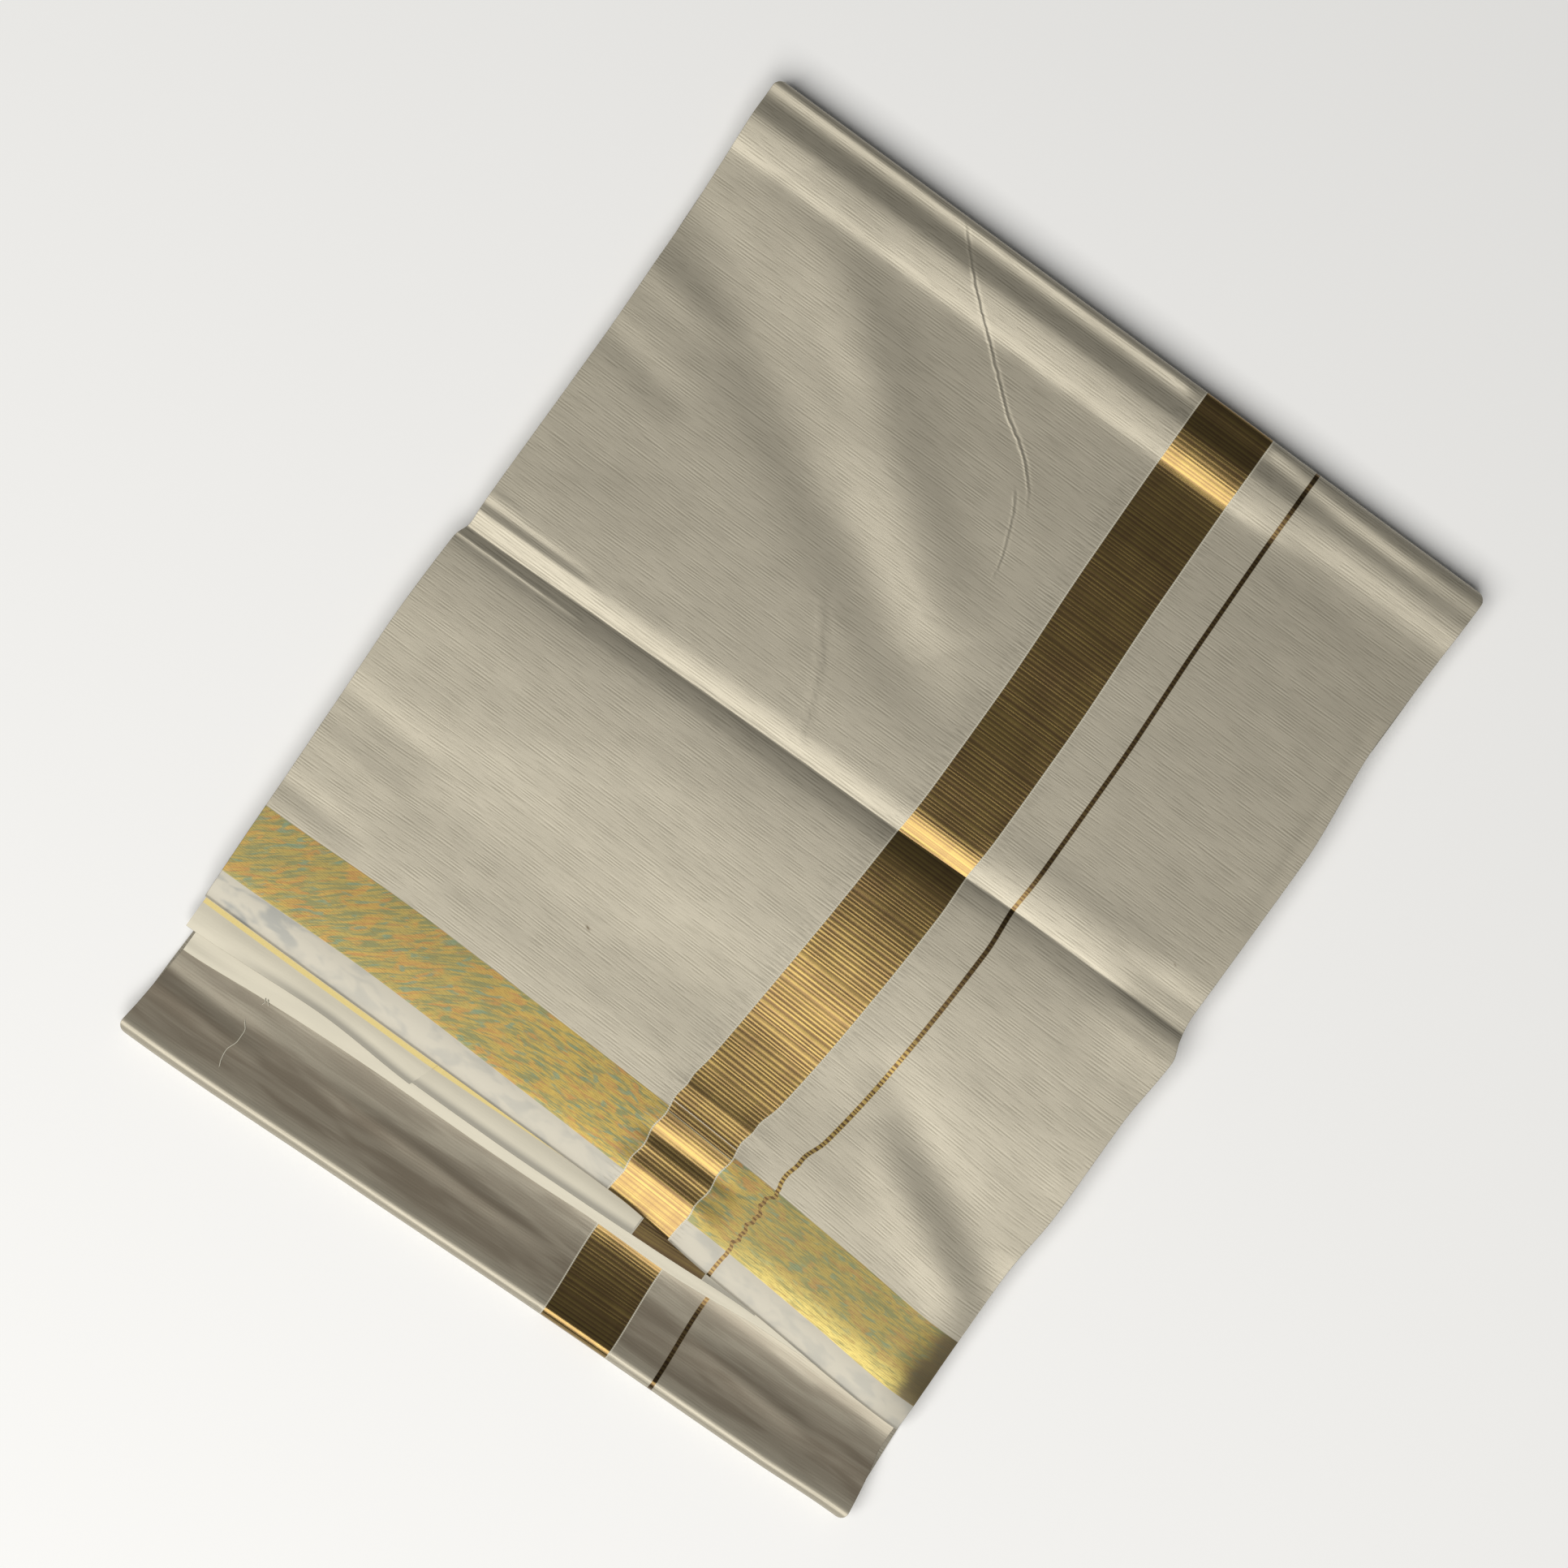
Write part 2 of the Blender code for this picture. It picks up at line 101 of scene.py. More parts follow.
END_LAYERS = (
    EndLayer("end_layer_full", left=0.0124, right=0.3216, level=1, edge=table(Line, (
        (10, 381.8), (45, 379.2), (70, 377.5), (100, 376.2), (135, 375.4), (165, 374.3), (191, 372.9),
        (221, 372.5), (240, 371), (266, 368.4), (323, 366.8),
    ))),
    EndLayer("end_layer_left", left=0.0082, right=0.1074, level=2, edge=table(Line, (
        (9, 373.9), (34, 372.6), (70, 370.8), (108, 372.4),
    ))),
    EndLayer("end_layer_middle", left=0.1077, right=0.2576, level=2, edge=table(Line, (
        (108, 371.4), (142, 371), (210, 368.4), (257, 366),
    ))),
)
TOP_HEIGHTS = table(Height, (
    (5.6, 11.3), (8, 11.4), (10.5, 11.9), (13, 12.6), (15.5, 13), (18.5, 12.9), (22.5, 12.6), (26, 12.1),
    (31.5, 11.1), (34.5, 11), (70, 11.5), (140, 12), (170, 12.3), (195, 12.6), (212, 12.9), (225, 13),
    (240, 12.8), (255, 12.5), (270, 12), (285, 11.7), (300, 11.9), (312, 12.1), (330, 12.1), (347, 11.9),
    (352, 11.6), (357, 10.9), (361, 9.9),
))
RIGHT_HEIGHTS = table(Height, (
    (5.6, 11.3), (10, 11.4), (14, 11.5), (18, 11.3), (22, 10.8), (26, 10.3), (30, 10.1), (34.5, 10.1),
    (45, 10.4), (70, 11), (110, 11.7), (140, 12), (170, 12.3),
))
LOWER_HEIGHTS = table(Height, (
    (3.6, 8.9), (4.6, 8.7), (5.8, 8.3), (9, 7.6), (12, 7), (18, 5.9), (24, 4.9), (30, 4.1), (36, 3.5),
    (38.5, 3.4), (44, 4.1), (50, 4.5), (77, 4.5),
))

# How far the cloth drops at the crease and, in another way, at the crease's right end
CREASE_SECTION = table(Height, (
    (-30, 0), (-12, -0.1), (-9, -0.2), (-6, -0.5), (-3.5, -0.9), (-1.5, -1.3), (0, -1.8), (2, -1.4),
    (5, -0.8), (8.5, -0.3), (13, -0.1), (20, 0),
))
CREASE_END_SECTION = table(Height, (
    (-30, 0), (-20, -0.2), (-14, -0.6), (-9, -0.9), (-3, -0.8), (2.5, 0.4), (6, 0.7), (10, 0.7),
    (18, 0.3), (30, 0),
))
CREASE_END = (0.280, 0.306)
LEFT_FALL = 0.0017
CORNER_DROOP = 0.0034
DROOP_START = 0.3060
DROOP_END = 0.3235
SLIT_DEPTH = 0.0007
SLIT_ABOVE = 0.0022
SLIT_BELOW = 0.0014

# Troughs and ridges, by where each runs, and the buckles of the warp band near its lower end
BROAD_WAVES = table(Fold, (
    (30, 18, 172, 131, 14, 1.2),
    (-20, 50, 192, 158, 13.5, -1.1),
    (-30, 77, 48, 87, 7, 0.5),
    (-30, 105, 48, 117, 7, -0.4),
    (-160, 16.8, 215, 16.8, 4.5, 0.3),
    (312, 60, 318, 150, 3, -0.4),
    (222, 177, 328, 177, 7.5, 0.4),
    (235, 263, 330, 308, 9.5, -0.6),
    (250, 285, 332, 329, 9, 0.8),
    (-30, 268, 50, 274, 5, -0.3),
    (-30, 286, 50, 290, 6, 0.3),
    (-30, 309, 45, 312, 5, -0.4),
))
CREASE_BUCKLES = table(Fold, (
    (-20, 183.4, 22, 182.2, 1.4, 0.18),
    (-40, 187.4, 54, 185.8, 1.6, -0.24),
    (-50, 191.4, 62, 189, 1.5, 0.3),
    (-50, 201.2, 62, 200.4, 0.8, 0.4),
))
BAND_BUCKLES = table(Height, (
    (130, 0), (160, 0.2), (185, 0.4), (210, 0.7), (230, 0.8), (260, 0.65), (295, 0.4), (304, 0.4),
    (310, 0.5), (312.5, 0.65), (318, 0.7), (322.5, 0.85), (326, 1), (329, 1), (333.5, 0.7), (338.5, 1.2),
    (341, 1.3), (343, 1.45), (347.5, 1.8), (352, 1.2), (357, 0.4), (361, 0.1),
))

# Handling wrinkles: the height and half width of each in millimetres, and its line
WRINKLES = (
    Wrinkle("wrinkle_long", depth=0.16, width=1.0, line=table(Line, (
        (83.5, 1), (90, 7.8), (101, 19), (109.2, 25.8), (117.2, 32.2), (129, 42), (139.2, 50.5),
        (146.2, 54.5), (154, 60.2), (161.2, 67.8), (166.4, 77.1),
    ))),
    Wrinkle("wrinkle_short", depth=0.11, width=1.0, line=table(Line, (
        (156, 69), (161.2, 77.2), (165.5, 87.9), (168, 95), (169, 103),
    ))),
    Wrinkle("wrinkle_faint", depth=0.07, width=3.4, line=table(Line, (
        (121.6, 140.6), (130, 152), (137.7, 164.1), (143, 176), (146.5, 187.5), (153.8, 194.8),
    ))),
)
LOWER_WAVES = table(Fold, (
    (80, 391, 185, 390.5, 3, 0.3),
    (-30, 390, 62, 391, 3.4, -0.3),
    (-30, 396.6, 62, 398, 3.4, 0.3),
    (240, 386, 300, 389, 3.5, 0.3),
    (210, 398, 340, 394, 5, -0.2),
))

THREAD_RADIUS = 0.00019
STRAY_THREADS = (
    table(Line, (
        (45.4, 388.6), (47.8, 392.4), (48, 396.6), (46.6, 401.6), (47.2, 405.5), (48.3, 408.4),
    )),
    table(Line, ((47, 378.4), (47.6, 379.7), (47.2, 381.2))),
    table(Line, ((48, 378.2), (48.7, 379.3), (49.3, 380.3))),
)

# Where the woven bands lie: the warp band's left edge down the bundle, and the weft band's upper edge across
WARP_EDGE = table(Line, (
    (192.2, 3), (193.6, 73), (196, 132), (196.4, 175), (195.5, 196), (194, 230), (192, 264), (189.6, 299),
    (188, 312), (188.4, 350), (187.8, 361),
))
WARP_WIDTHS = table(Height, (
    (0, 29.3), (190, 29.6), (211, 30.8), (264, 31.3), (300, 30.4), (311, 29.2), (361, 28.1),
))
WEFT_EDGE = table(Line, (
    (9, 321.4), (70, 320), (141, 321.4), (176, 322.3), (229, 324.4), (275, 327.3), (316, 330.1),
))
LOWER_WARP_EDGE = table(Line, ((192.6, 373), (194.8, 410)))
LOWER_WARP_WIDTH = 0.0282
WEFT_START = 0.3214
WEFT_WIDTH = 0.0282
WARP_WIDTH = 0.0300
THIN_LINE_AT = 0.0508
THIN_LINE_WIDTH = 0.0018

# Where the hidden and separate stretches start on the cloth, so that no two show the same part of the weave
LOWER_CLOTH_START = -0.2
BACK_CLOTH_START = (0.27, -0.5)
INNER_CLOTH_START = 3.0
THREAD_CLOTH_START = 4.0


# Curves and plan positions
def curve_through(points):
    """A smooth function through (x, y) points that never overshoots them, level beyond the ends."""
    xs = np.array([p[0] for p in points])
    ys = np.array([p[1] for p in points])
    steps = np.diff(xs)
    rates = np.diff(ys) / steps
    slopes = np.zeros(len(xs))
    for i in range(1, len(xs) - 1):
        if rates[i - 1] * rates[i] > 0:
            slopes[i] = 2 * rates[i - 1] * rates[i] / (rates[i - 1] + rates[i])

    def value(x):
        x = np.clip(x, xs[0], xs[-1])
        i = np.clip(np.searchsorted(xs, x) - 1, 0, len(steps) - 1)
        t = (x - xs[i]) / steps[i]
        start = ys[i] * (1 + 2 * t) * (1 - t) ** 2 + slopes[i] * steps[i] * t * (1 - t) ** 2
        end = ys[i + 1] * t * t * (3 - 2 * t) + slopes[i + 1] * steps[i] * t * t * (t - 1)
        return start + end

    return value


def swapped(lines):
    return [(line.v, line.u) for line in lines]


upper_left = curve_through([(s.v, s.left) for s in UPPER_SIDES])
upper_right = curve_through([(s.v, s.right) for s in UPPER_SIDES])
lower_left = curve_through([(s.v, s.left) for s in LOWER_SIDES])
lower_right = curve_through([(s.v, s.right) for s in LOWER_SIDES])
crease_v = curve_through(CREASE_LINE)
flap_v = curve_through(FLAP_EDGE)
bottom_v = curve_through(BOTTOM_FOLD)
top_height = curve_through(TOP_HEIGHTS)
right_height = curve_through(RIGHT_HEIGHTS)
lower_height = curve_through(LOWER_HEIGHTS)
warp_edge = curve_through(swapped(WARP_EDGE))
warp_width = curve_through(WARP_WIDTHS)
band_buckles = curve_through(BAND_BUCKLES)
lower_warp_edge = curve_through(swapped(LOWER_WARP_EDGE))
crease_section = curve_through(CREASE_SECTION)
crease_end_section = curve_through(CREASE_END_SECTION)
weft_edge = curve_through(WEFT_EDGE)


def between(low, high, share):
    return low + (high - low) * share


def place(u, v, z):
    """Points of the plan and their heights, in the bundle's frame, as an array with a last axis of 3."""
    u, v, z = np.broadcast_arrays(u, v, z)
    return np.stack([u - MIDDLE_U, MIDDLE_V - v, z], axis=-1)


def smooth_step(x, low, high):
    t = np.clip((x - low) / (high - low), 0, 1)
    return t * t * (3 - 2 * t)


def corner_inset(distance):
    reach = CORNER_RADIUS - np.clip(distance, 0, CORNER_RADIUS)
    return CORNER_RADIUS - np.sqrt(CORNER_RADIUS**2 - reach**2)


def row_v(u, row):
    above = row * crease_v(u) / CREASE_V
    below = between(crease_v(u), flap_v(u), (row - CREASE_V) / (FLAP_V - CREASE_V))
    return np.where(row <= CREASE_V, above, below)


def upper_point(share, row):
    v = row_v(between(upper_left(row), upper_right(row), share), row)
    inset = corner_inset(v)
    return between(upper_left(v) + inset, upper_right(v) - inset, share), v


def panel_start(u):
    return row_v(u, STEP_ROW) + STEP_RUN


def stretch_at(u):
    return (bottom_v(u) - panel_start(u) - PLAIN_LENGTH) / (PANEL_LENGTH - PLAIN_LENGTH)


def lower_v(u, distance):
    past = np.maximum(0, distance - PLAIN_LENGTH)
    return bottom_v(u) - (distance - past) - past * stretch_at(u)


def lower_point(share, distance):
    v = lower_v(between(LOWER_SIDES[-1].left, LOWER_SIDES[-1].right, share), distance)
    inset = corner_inset(distance)
    return between(lower_left(v) + inset, lower_right(v) - inset, share), v


def stations(*spans):
    """Positions along (start, stop, spacing) spans that follow each other."""
    parts = []
    for start, stop, spacing in spans:
        count = max(1, round(abs(stop - start) / spacing))
        parts.append(np.linspace(start, stop, count, endpoint=False))
    return np.append(np.concatenate(parts), spans[-1][1])


# Relief of the cloth
def soft_fold(fold, u, v):
    run_u, run_v = fold.u1 - fold.u0, fold.v1 - fold.v0
    length = math.hypot(run_u, run_v)
    along = ((u - fold.u0) * run_u + (v - fold.v0) * run_v) / length**2
    across = ((u - fold.u0) * run_v - (v - fold.v0) * run_u) / length
    fade = np.maximum(0, 1 - (2 * along - 1) ** 4)
    return fold.rise * fade * np.exp(-((across / fold.width) ** 2))


def wandering(seed):
    """A smooth uneven function of one length, between about -1 and 1."""
    waves = 5
    random = np.random.default_rng(seed)
    lengths = random.uniform(0.02, 0.12, waves)
    phases = random.uniform(0, 2 * math.pi, waves)
    weights = random.uniform(0.5, 1.0, waves)

    def value(x):
        return sum(w * np.sin(2 * math.pi * x / n + p) for w, n, p in zip(weights, lengths, phases)) / waves

    return value


def undulation(seed, size, height):
    """Low uneven waves over the whole cloth, as a function of u and v."""
    random = np.random.default_rng(seed)
    waves = [
        (random.uniform(0, 2 * math.pi), random.uniform(0, 2 * math.pi), size * random.uniform(0.7, 1.6))
        for _ in range(9)
    ]

    def value(u, v):
        total = 0
        for turn, phase, length in waves:
            along = u * math.cos(turn) + v * math.sin(turn)
            total = total + np.sin(2 * math.pi * along / length + phase)
        return height * total / 3

    return value


broad_undulation = undulation(3, 0.060, 0.00010)
close_undulation = undulation(8, 0.016, 0.00002)


def puff(v, at, reach):
    return np.exp(-(((v - at) / reach) ** 2))


def folds(all_folds, u, v):
    return sum(soft_fold(fold, u, v) for fold in all_folds)


def corner_droop(u, v):
    """How far the cloth hangs down towards its lower right corner."""
    past = np.clip((u - DROOP_START) / (DROOP_END - DROOP_START), 0, 1.2)
    less = 1 - 0.35 * smooth_step(v, 0.345, 0.361)
    return CORNER_DROOP * past**1.5 * smooth_step(v, 0.290, 0.326) * less


def left_fall(u, v):
    """The step down from the thick top fold, soft and slanting, towards the left side."""
    centre = 0.0405 + 0.305 * u
    step = smooth_step(v, centre - 0.017, centre + 0.017)
    return -LEFT_FALL * step * smooth_step(u, 0.120, 0.045) * smooth_step(v, 0.320, 0.120)


def face_height(u, row):
    """The top cloth's height down the bundle. To the right the thick top fold is lower and flatter."""
    to_right = smooth_step(u, 0.222, 0.262) * smooth_step(row, 0.170, 0.140)
    return between(top_height(row), right_height(row), to_right)


def top_surface(u, v, row):
    past_crease = v - crease_v(u)
    at_end = smooth_step(u, *CREASE_END)
    reach = np.where(past_crease < 0, SLIT_ABOVE, SLIT_BELOW)
    strength = 1 - 0.7 * smooth_step(u, 0.230, 0.275) + 1.1 * at_end
    slit = SLIT_DEPTH * strength * np.exp(-np.abs(past_crease) / reach)
    softer = between(1.0, 0.60, smooth_step(u, 0.20, 0.26))
    crease = between(softer * crease_section(past_crease), crease_end_section(past_crease), at_end)
    z = face_height(u, row) + crease - slit + left_fall(u, v)
    z = z + folds(BROAD_WAVES, u, v) + folds(CREASE_BUCKLES, u, v)
    z = z + band_buckles(v) * smooth_step(u, 0.177, 0.192) * smooth_step(u, 0.232, 0.217)
    calm = smooth_step(row, 0.006, 0.030) * smooth_step(row, FLAP_V, FLAP_V - 0.020)
    return z + calm * (broad_undulation(u, v) + close_undulation(u, v)) - corner_droop(u, v)


def lower_surface(u, v):
    up = bottom_v(u) - v
    past = np.maximum(0, up - PLAIN_LENGTH)
    return lower_height(up - past + past / stretch_at(u))


def lower_relief(u, v):
    return folds(LOWER_WAVES, u, v) + close_undulation(u, v)


# Meshes
def packed(values, kind=np.float32):
    return np.ascontiguousarray(values, dtype=kind).ravel()


def add_mesh(name, points, faces, uv, material):
    """A smooth mesh from an (n, 3) array of points, faces of one size and (n, 2) cloth positions."""
    mesh = bpy.data.meshes.new(name)
    size = len(faces[0])
    mesh.vertices.add(len(points))
    mesh.vertices.foreach_set("co", packed(points))
    mesh.loops.add(len(faces) * size)
    mesh.loops.foreach_set("vertex_index", packed(faces, np.int32))
    mesh.polygons.add(len(faces))
    mesh.polygons.foreach_set("loop_start", np.arange(len(faces), dtype=np.int32) * size)
    mesh.update(calc_edges=True)
    layer = mesh.uv_layers.new(name="cloth")
    layer.data.foreach_set("uv", packed(uv[faces.ravel()]))
    mesh.shade_smooth()
    mesh.materials.append(material)
    body = bpy.data.objects.new(name, mesh)
    bpy.context.scene.collection.objects.link(body)
    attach(body, "root")
    return body


def grid_mesh(name, points, uv, material):
    """A sheet from a (rows, columns, 3) array whose rows run down the bundle, its outer face up."""
    rows, columns = points.shape[:2]
    index = np.arange(rows * columns).reshape(rows, columns)
    faces = np.stack([index[:-1, :-1], index[1:, :-1], index[1:, 1:], index[:-1, 1:]], axis=-1)
    return add_mesh(name, points.reshape(-1, 3), faces.reshape(-1, 4), uv.reshape(-1, 2), material)


def tube_faces(rows, count):
    """Faces between the closed rings of a tube."""
    index = np.arange(rows * count).reshape(rows, count)
    after = np.roll(index, -1, axis=1)
    return np.stack([index[:-1], after[:-1], after[1:], index[1:]], axis=-1).reshape(-1, 4)


def joined(parts):
    """One array of points, one of faces and one of cloth positions, from several of each."""
    starts = np.cumsum([0] + [len(points) for points, _, _ in parts])
    moved = [(points, faces + start, uv) for (points, faces, uv), start in zip(parts, starts)]
    return [np.concatenate(arrays) for arrays in zip(*moved)]


def outward(points):
    """Unit normals of a grid of points, out of its outer face."""
    normal = np.cross(np.gradient(points, axis=0), np.gradient(points, axis=1))
    return normal / np.linalg.norm(normal, axis=-1, keepdims=True)


PLY_POINTS = (-70, -25, 25, 70)
PLY_BULGE = 0.55
TUCK = 0.004
UNEVEN = 0.0003


def ply_profile(plies, thickness, seed):
    """Stations (out, depth, unevenness) round the edges of a stack of plies, from its outer face in."""
    ply = thickness / plies
    stations_out = []
    for k in range(plies):
        uneven = wandering(seed + k)
        for angle in PLY_POINTS:
            turn = math.radians(angle)
            out, depth = PLY_BULGE * ply * math.cos(turn), ply * (k + 0.5 + 0.5 * math.sin(turn))
            stations_out.append((out, depth, uneven))
    stations_out.append((-TUCK, thickness, wandering(seed + plies)))
    return stations_out


def unevenness(wander, along, depth):
    """How far the edge of a ply stands back, which starts a little below the outer face."""
    return UNEVEN * (0.5 + 0.5 * wander(along)) * min(1.0, depth / (0.3 * MM))


def with_edges(points, uv, thickness, plies, seed):
    """Adds to both sides of a grid the stacked ply edges of a folded cloth, turned in under its face."""
    normal = outward(points)
    along = np.cumsum(np.append(0, np.linalg.norm(np.diff(points[:, 0], axis=0), axis=1)))[:, None]
    edges, edge_uvs = [], []
    for column, sign in ((0, -1), (-1, 1)):
        n = normal[:, column]
        side = np.zeros_like(n)
        side[:, 0] = sign
        added, added_uv = [], []
        for out, depth, wander in ply_profile(plies, thickness, seed + 10 * (sign > 0)):
            added.append(points[:, column] + side * (out - unevenness(wander, along, depth)) - n * depth)
            added_uv.append(uv[:, column] + [sign * (depth + 0.2 * MM), 0])
        edges.append(np.stack(added, axis=1)[:, ::sign])
        edge_uvs.append(np.stack(added_uv, axis=1)[:, ::sign])
    all_points = np.concatenate([edges[0], points, edges[1]], axis=1)
    return all_points, np.concatenate([edge_uvs[0], uv, edge_uvs[1]], axis=1)


# Stations across the width: closer where the fine wrinkles are
COLUMN_SHARES = stations(
    (0, 0.006, 0.0015), (0.006, 0.24, 0.0048), (0.24, 0.56, 0.0034), (0.56, 0.994, 0.0048),
    (0.994, 1.0, 0.0015),
)


def arc_turns(count):
    return [math.pi / 2 - math.pi * i / count for i in range(1, count)]


def add_wrinkle(body, wrinkle):
    """Stores, for each point of a cloth, its signed distance from a line, in widths, and the depth there."""
    line = wrinkle.line
    size = len(body.data.vertices)
    points = np.empty(size * 3)
    body.data.vertices.foreach_get("co", points)
    points = points.reshape(-1, 3)
    u, v = points[:, 0] + MIDDLE_U, MIDDLE_V - points[:, 1]
    nearest, share = np.full(size, 9.0), np.zeros(size)
    signed = np.full(size, 9.0)
    total = sum(math.dist(a, b) for a, b in zip(line, line[1:]))
    done = 0.0
    for a, b in zip(line, line[1:]):
        length = math.dist(a, b)
        run_u, run_v = (b[0] - a[0]) / length, (b[1] - a[1]) / length
        along = np.clip((u - a[0]) * run_u + (v - a[1]) * run_v, 0, length)
        off_u, off_v = u - a[0] - along * run_u, v - a[1] - along * run_v
        distance = np.hypot(off_u, off_v)
        closer = distance < nearest
        side = np.where(off_u * run_v - off_v * run_u < 0, -1, 1)
        nearest = np.where(closer, distance, nearest)
        signed = np.where(closer, side * distance, signed)
        share = np.where(closer, (done + along) / total, share)
        done += length
    ends = smooth_step(share, 0, 0.12) * smooth_step(share, 1, 0.80)
    deep = wrinkle.depth * ends * (points[:, 2] > TOP_RADIUS)
    layer = body.data.attributes.new(wrinkle.name, "FLOAT_VECTOR", "POINT")
    layer.data.foreach_set("vector", packed(np.stack([signed / MM / wrinkle.width, deep, 0 * deep], axis=-1)))


def top_lift(u, v):
    """How far the top fold is puffed up: close to its edge to the left, further in to the right."""
    right = smooth_step(u, 0.205, 0.275)
    left_form = 0.0010 * puff(v, 0.0016, 0.0023) - 0.0002 * puff(v, 0.0078, 0.0024)
    right_form = 0.0003 * puff(v, 0.0054, 0.0026) - 0.0003 * puff(v, 0.0105, 0.0028)
    at_band = smooth_step(u, 0.183, 0.192) * smooth_step(u, 0.226, 0.219)
    return between(left_form, right_form, right) * (1 - at_band) * (1 - 0.6 * smooth_step(u, 0.280, 0.312))


WRIGGLE = 0.0005
WRIGGLE_LENGTH = 0.0137


def build_top_cloth(material):
    """From under the bundle, round the top fold, over the crease, to the edge that is folded under."""
    front = stations((TOP_RADIUS, 0.034, 0.0009), (0.034, 0.182, 0.0016), (0.182, 0.207, 0.0006),
                     (0.207, 0.308, 0.0018), (0.308, FLAP_V - FLAP_RADIUS, 0.0010))
    back = (BACK_RETURN, 0.5 * (BACK_RETURN + TOP_RADIUS), TOP_RADIUS)
    rows = [(row, 0.0, 0.0, 0.0, 2 * TOP_RADIUS - math.pi * TOP_RADIUS - row) for row in back]
    for turn in reversed(arc_turns(26)):
        rows.append((
            TOP_RADIUS * (1 - math.cos(turn)), -1.0, max(0.0, math.sin(turn)), math.sin(turn),
            TOP_RADIUS - TOP_RADIUS * (math.pi / 2 - turn),
        ))
    rows += [(row, 1.0, 1.0, 0.0, row) for row in front]
    for turn in arc_turns(8):
        rows.append((
            FLAP_V - FLAP_RADIUS * (1 - math.cos(turn)), 1.0, 0.0, -FOLD_UNDER * (1 - math.sin(turn)) / 2,
            FLAP_V - FLAP_RADIUS + FLAP_RADIUS * (math.pi / 2 - turn),
        ))
    for row in stations((FLAP_V - FLAP_RADIUS, FLAP_RETURN_ROW, 0.0016)):
        rows.append((row, 2.0, 0.0, -FOLD_UNDER, 2 * FLAP_V - row))
    row, surface, lift, offset, path = (np.array(c)[:, None] for c in zip(*rows))
    u, v = upper_point(COLUMN_SHARES[None, :], row)
    folded_under = np.where(surface == 2, top_height(row) - corner_droop(u, v), 0)
    z = np.where(surface == 1, top_surface(u, v, row), folded_under)
    squareness = between(0.30, 0.60, smooth_step(u, 0.205, 0.275))
    nose = TOP_RADIUS * (1 + np.where(offset > 0, np.abs(offset) ** squareness, offset))
    z = np.where(surface == -1, nose, z + offset) + lift * top_lift(u, v)
    points = place(u, v, z)
    wriggle = WRIGGLE * smooth_step(v, 0.304, 0.314) * smooth_step(v, 0.356, 0.346)
    moved = u - warp_edge(v) + wriggle * np.sin(2 * math.pi * v / WRIGGLE_LENGTH)
    across = moved * WARP_WIDTH / warp_width(v)
    tilt = (weft_edge(u) - WEFT_START) * smooth_step(v, 0.200, 0.315)
    cloth = np.stack([across, path + v - row - tilt], axis=-1)
    points, cloth = with_edges(points, cloth, WALL, 4, seed=1)
    top = grid_mesh("top_cloth", points, cloth, material)
    for wrinkle in WRINKLES:
        add_wrinkle(top, wrinkle)
    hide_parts("top_panel")


def build_lower_cloth(material):
    """From under the flap, round the bottom fold to the back."""
    rows = []
    for distance in stations((PANEL_LENGTH, BOTTOM_RADIUS, 0.0010)):
        rows.append((distance, 1.0, 0.0, PANEL_LENGTH - distance))
    crest = float(lower_height(BOTTOM_RADIUS))
    for turn in arc_turns(14):
        rows.append((
            BOTTOM_RADIUS * (1 - math.cos(turn)), 0.0, crest * (1 + math.sin(turn)) / 2,
            PANEL_LENGTH - BOTTOM_RADIUS + BOTTOM_RADIUS * (math.pi / 2 - turn),
        ))
    for distance in (BOTTOM_RADIUS, 0.5 * (BACK_RETURN + BOTTOM_RADIUS), BACK_RETURN):
        rows.append((distance, 0.0, 0.0, PANEL_LENGTH + (math.pi - 2) * BOTTOM_RADIUS + distance))
    distance, on_surface, offset, path = (np.array(c)[:, None] for c in zip(*rows))
    u, v = lower_point(COLUMN_SHARES[None, :], distance)
    shown = smooth_step(distance, BOTTOM_RADIUS, 0.010)
    z = on_surface * (lower_height(distance) + shown * lower_relief(u, v)) + offset
    points = place(u, v, z)
    across = (u - lower_warp_edge(v)) * WARP_WIDTH / LOWER_WARP_WIDTH
    cloth = np.stack([across, path + 0 * v + LOWER_CLOTH_START], axis=-1)
    points, cloth = with_edges(points, cloth, WALL, 4, seed=31)
    lower = grid_mesh("lower_cloth", points, cloth, material)
    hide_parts("lower_panel")


def build_back_cloth(material):
    """The stretch that the bundle lies on. It meets the other two without a seam."""
    depth = stations((0, 1, 1 / 60))[:, None]
    shares = COLUMN_SHARES[None, :]
    first_u, first_v = upper_point(shares, BACK_RETURN)
    last_u, last_v = lower_point(shares, BACK_RETURN)
    v = between(first_v, last_v, depth)
    straight = between(first_u, last_u, depth)
    sides = between(lower_left(v), lower_right(v), shares)
    held = np.minimum(1, 6 * np.minimum(depth, 1 - depth))
    u = between(straight, sides, held)
    points = place(u, v, 0.0 * v)[::-1]
    cloth = np.stack([BACK_CLOTH_START[0] - u, v + BACK_CLOTH_START[1]], axis=-1)[::-1]
    points, cloth = with_edges(points, cloth, WALL, 4, seed=61)
    back = grid_mesh("back_cloth", points, cloth, material)
    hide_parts("back_panel")


END_NOSE = 0.0030
END_NOSE_DROP = 0.0004
END_PLIES = 3
LINE_SLANT = 0.036
NO_LINE = 0.02


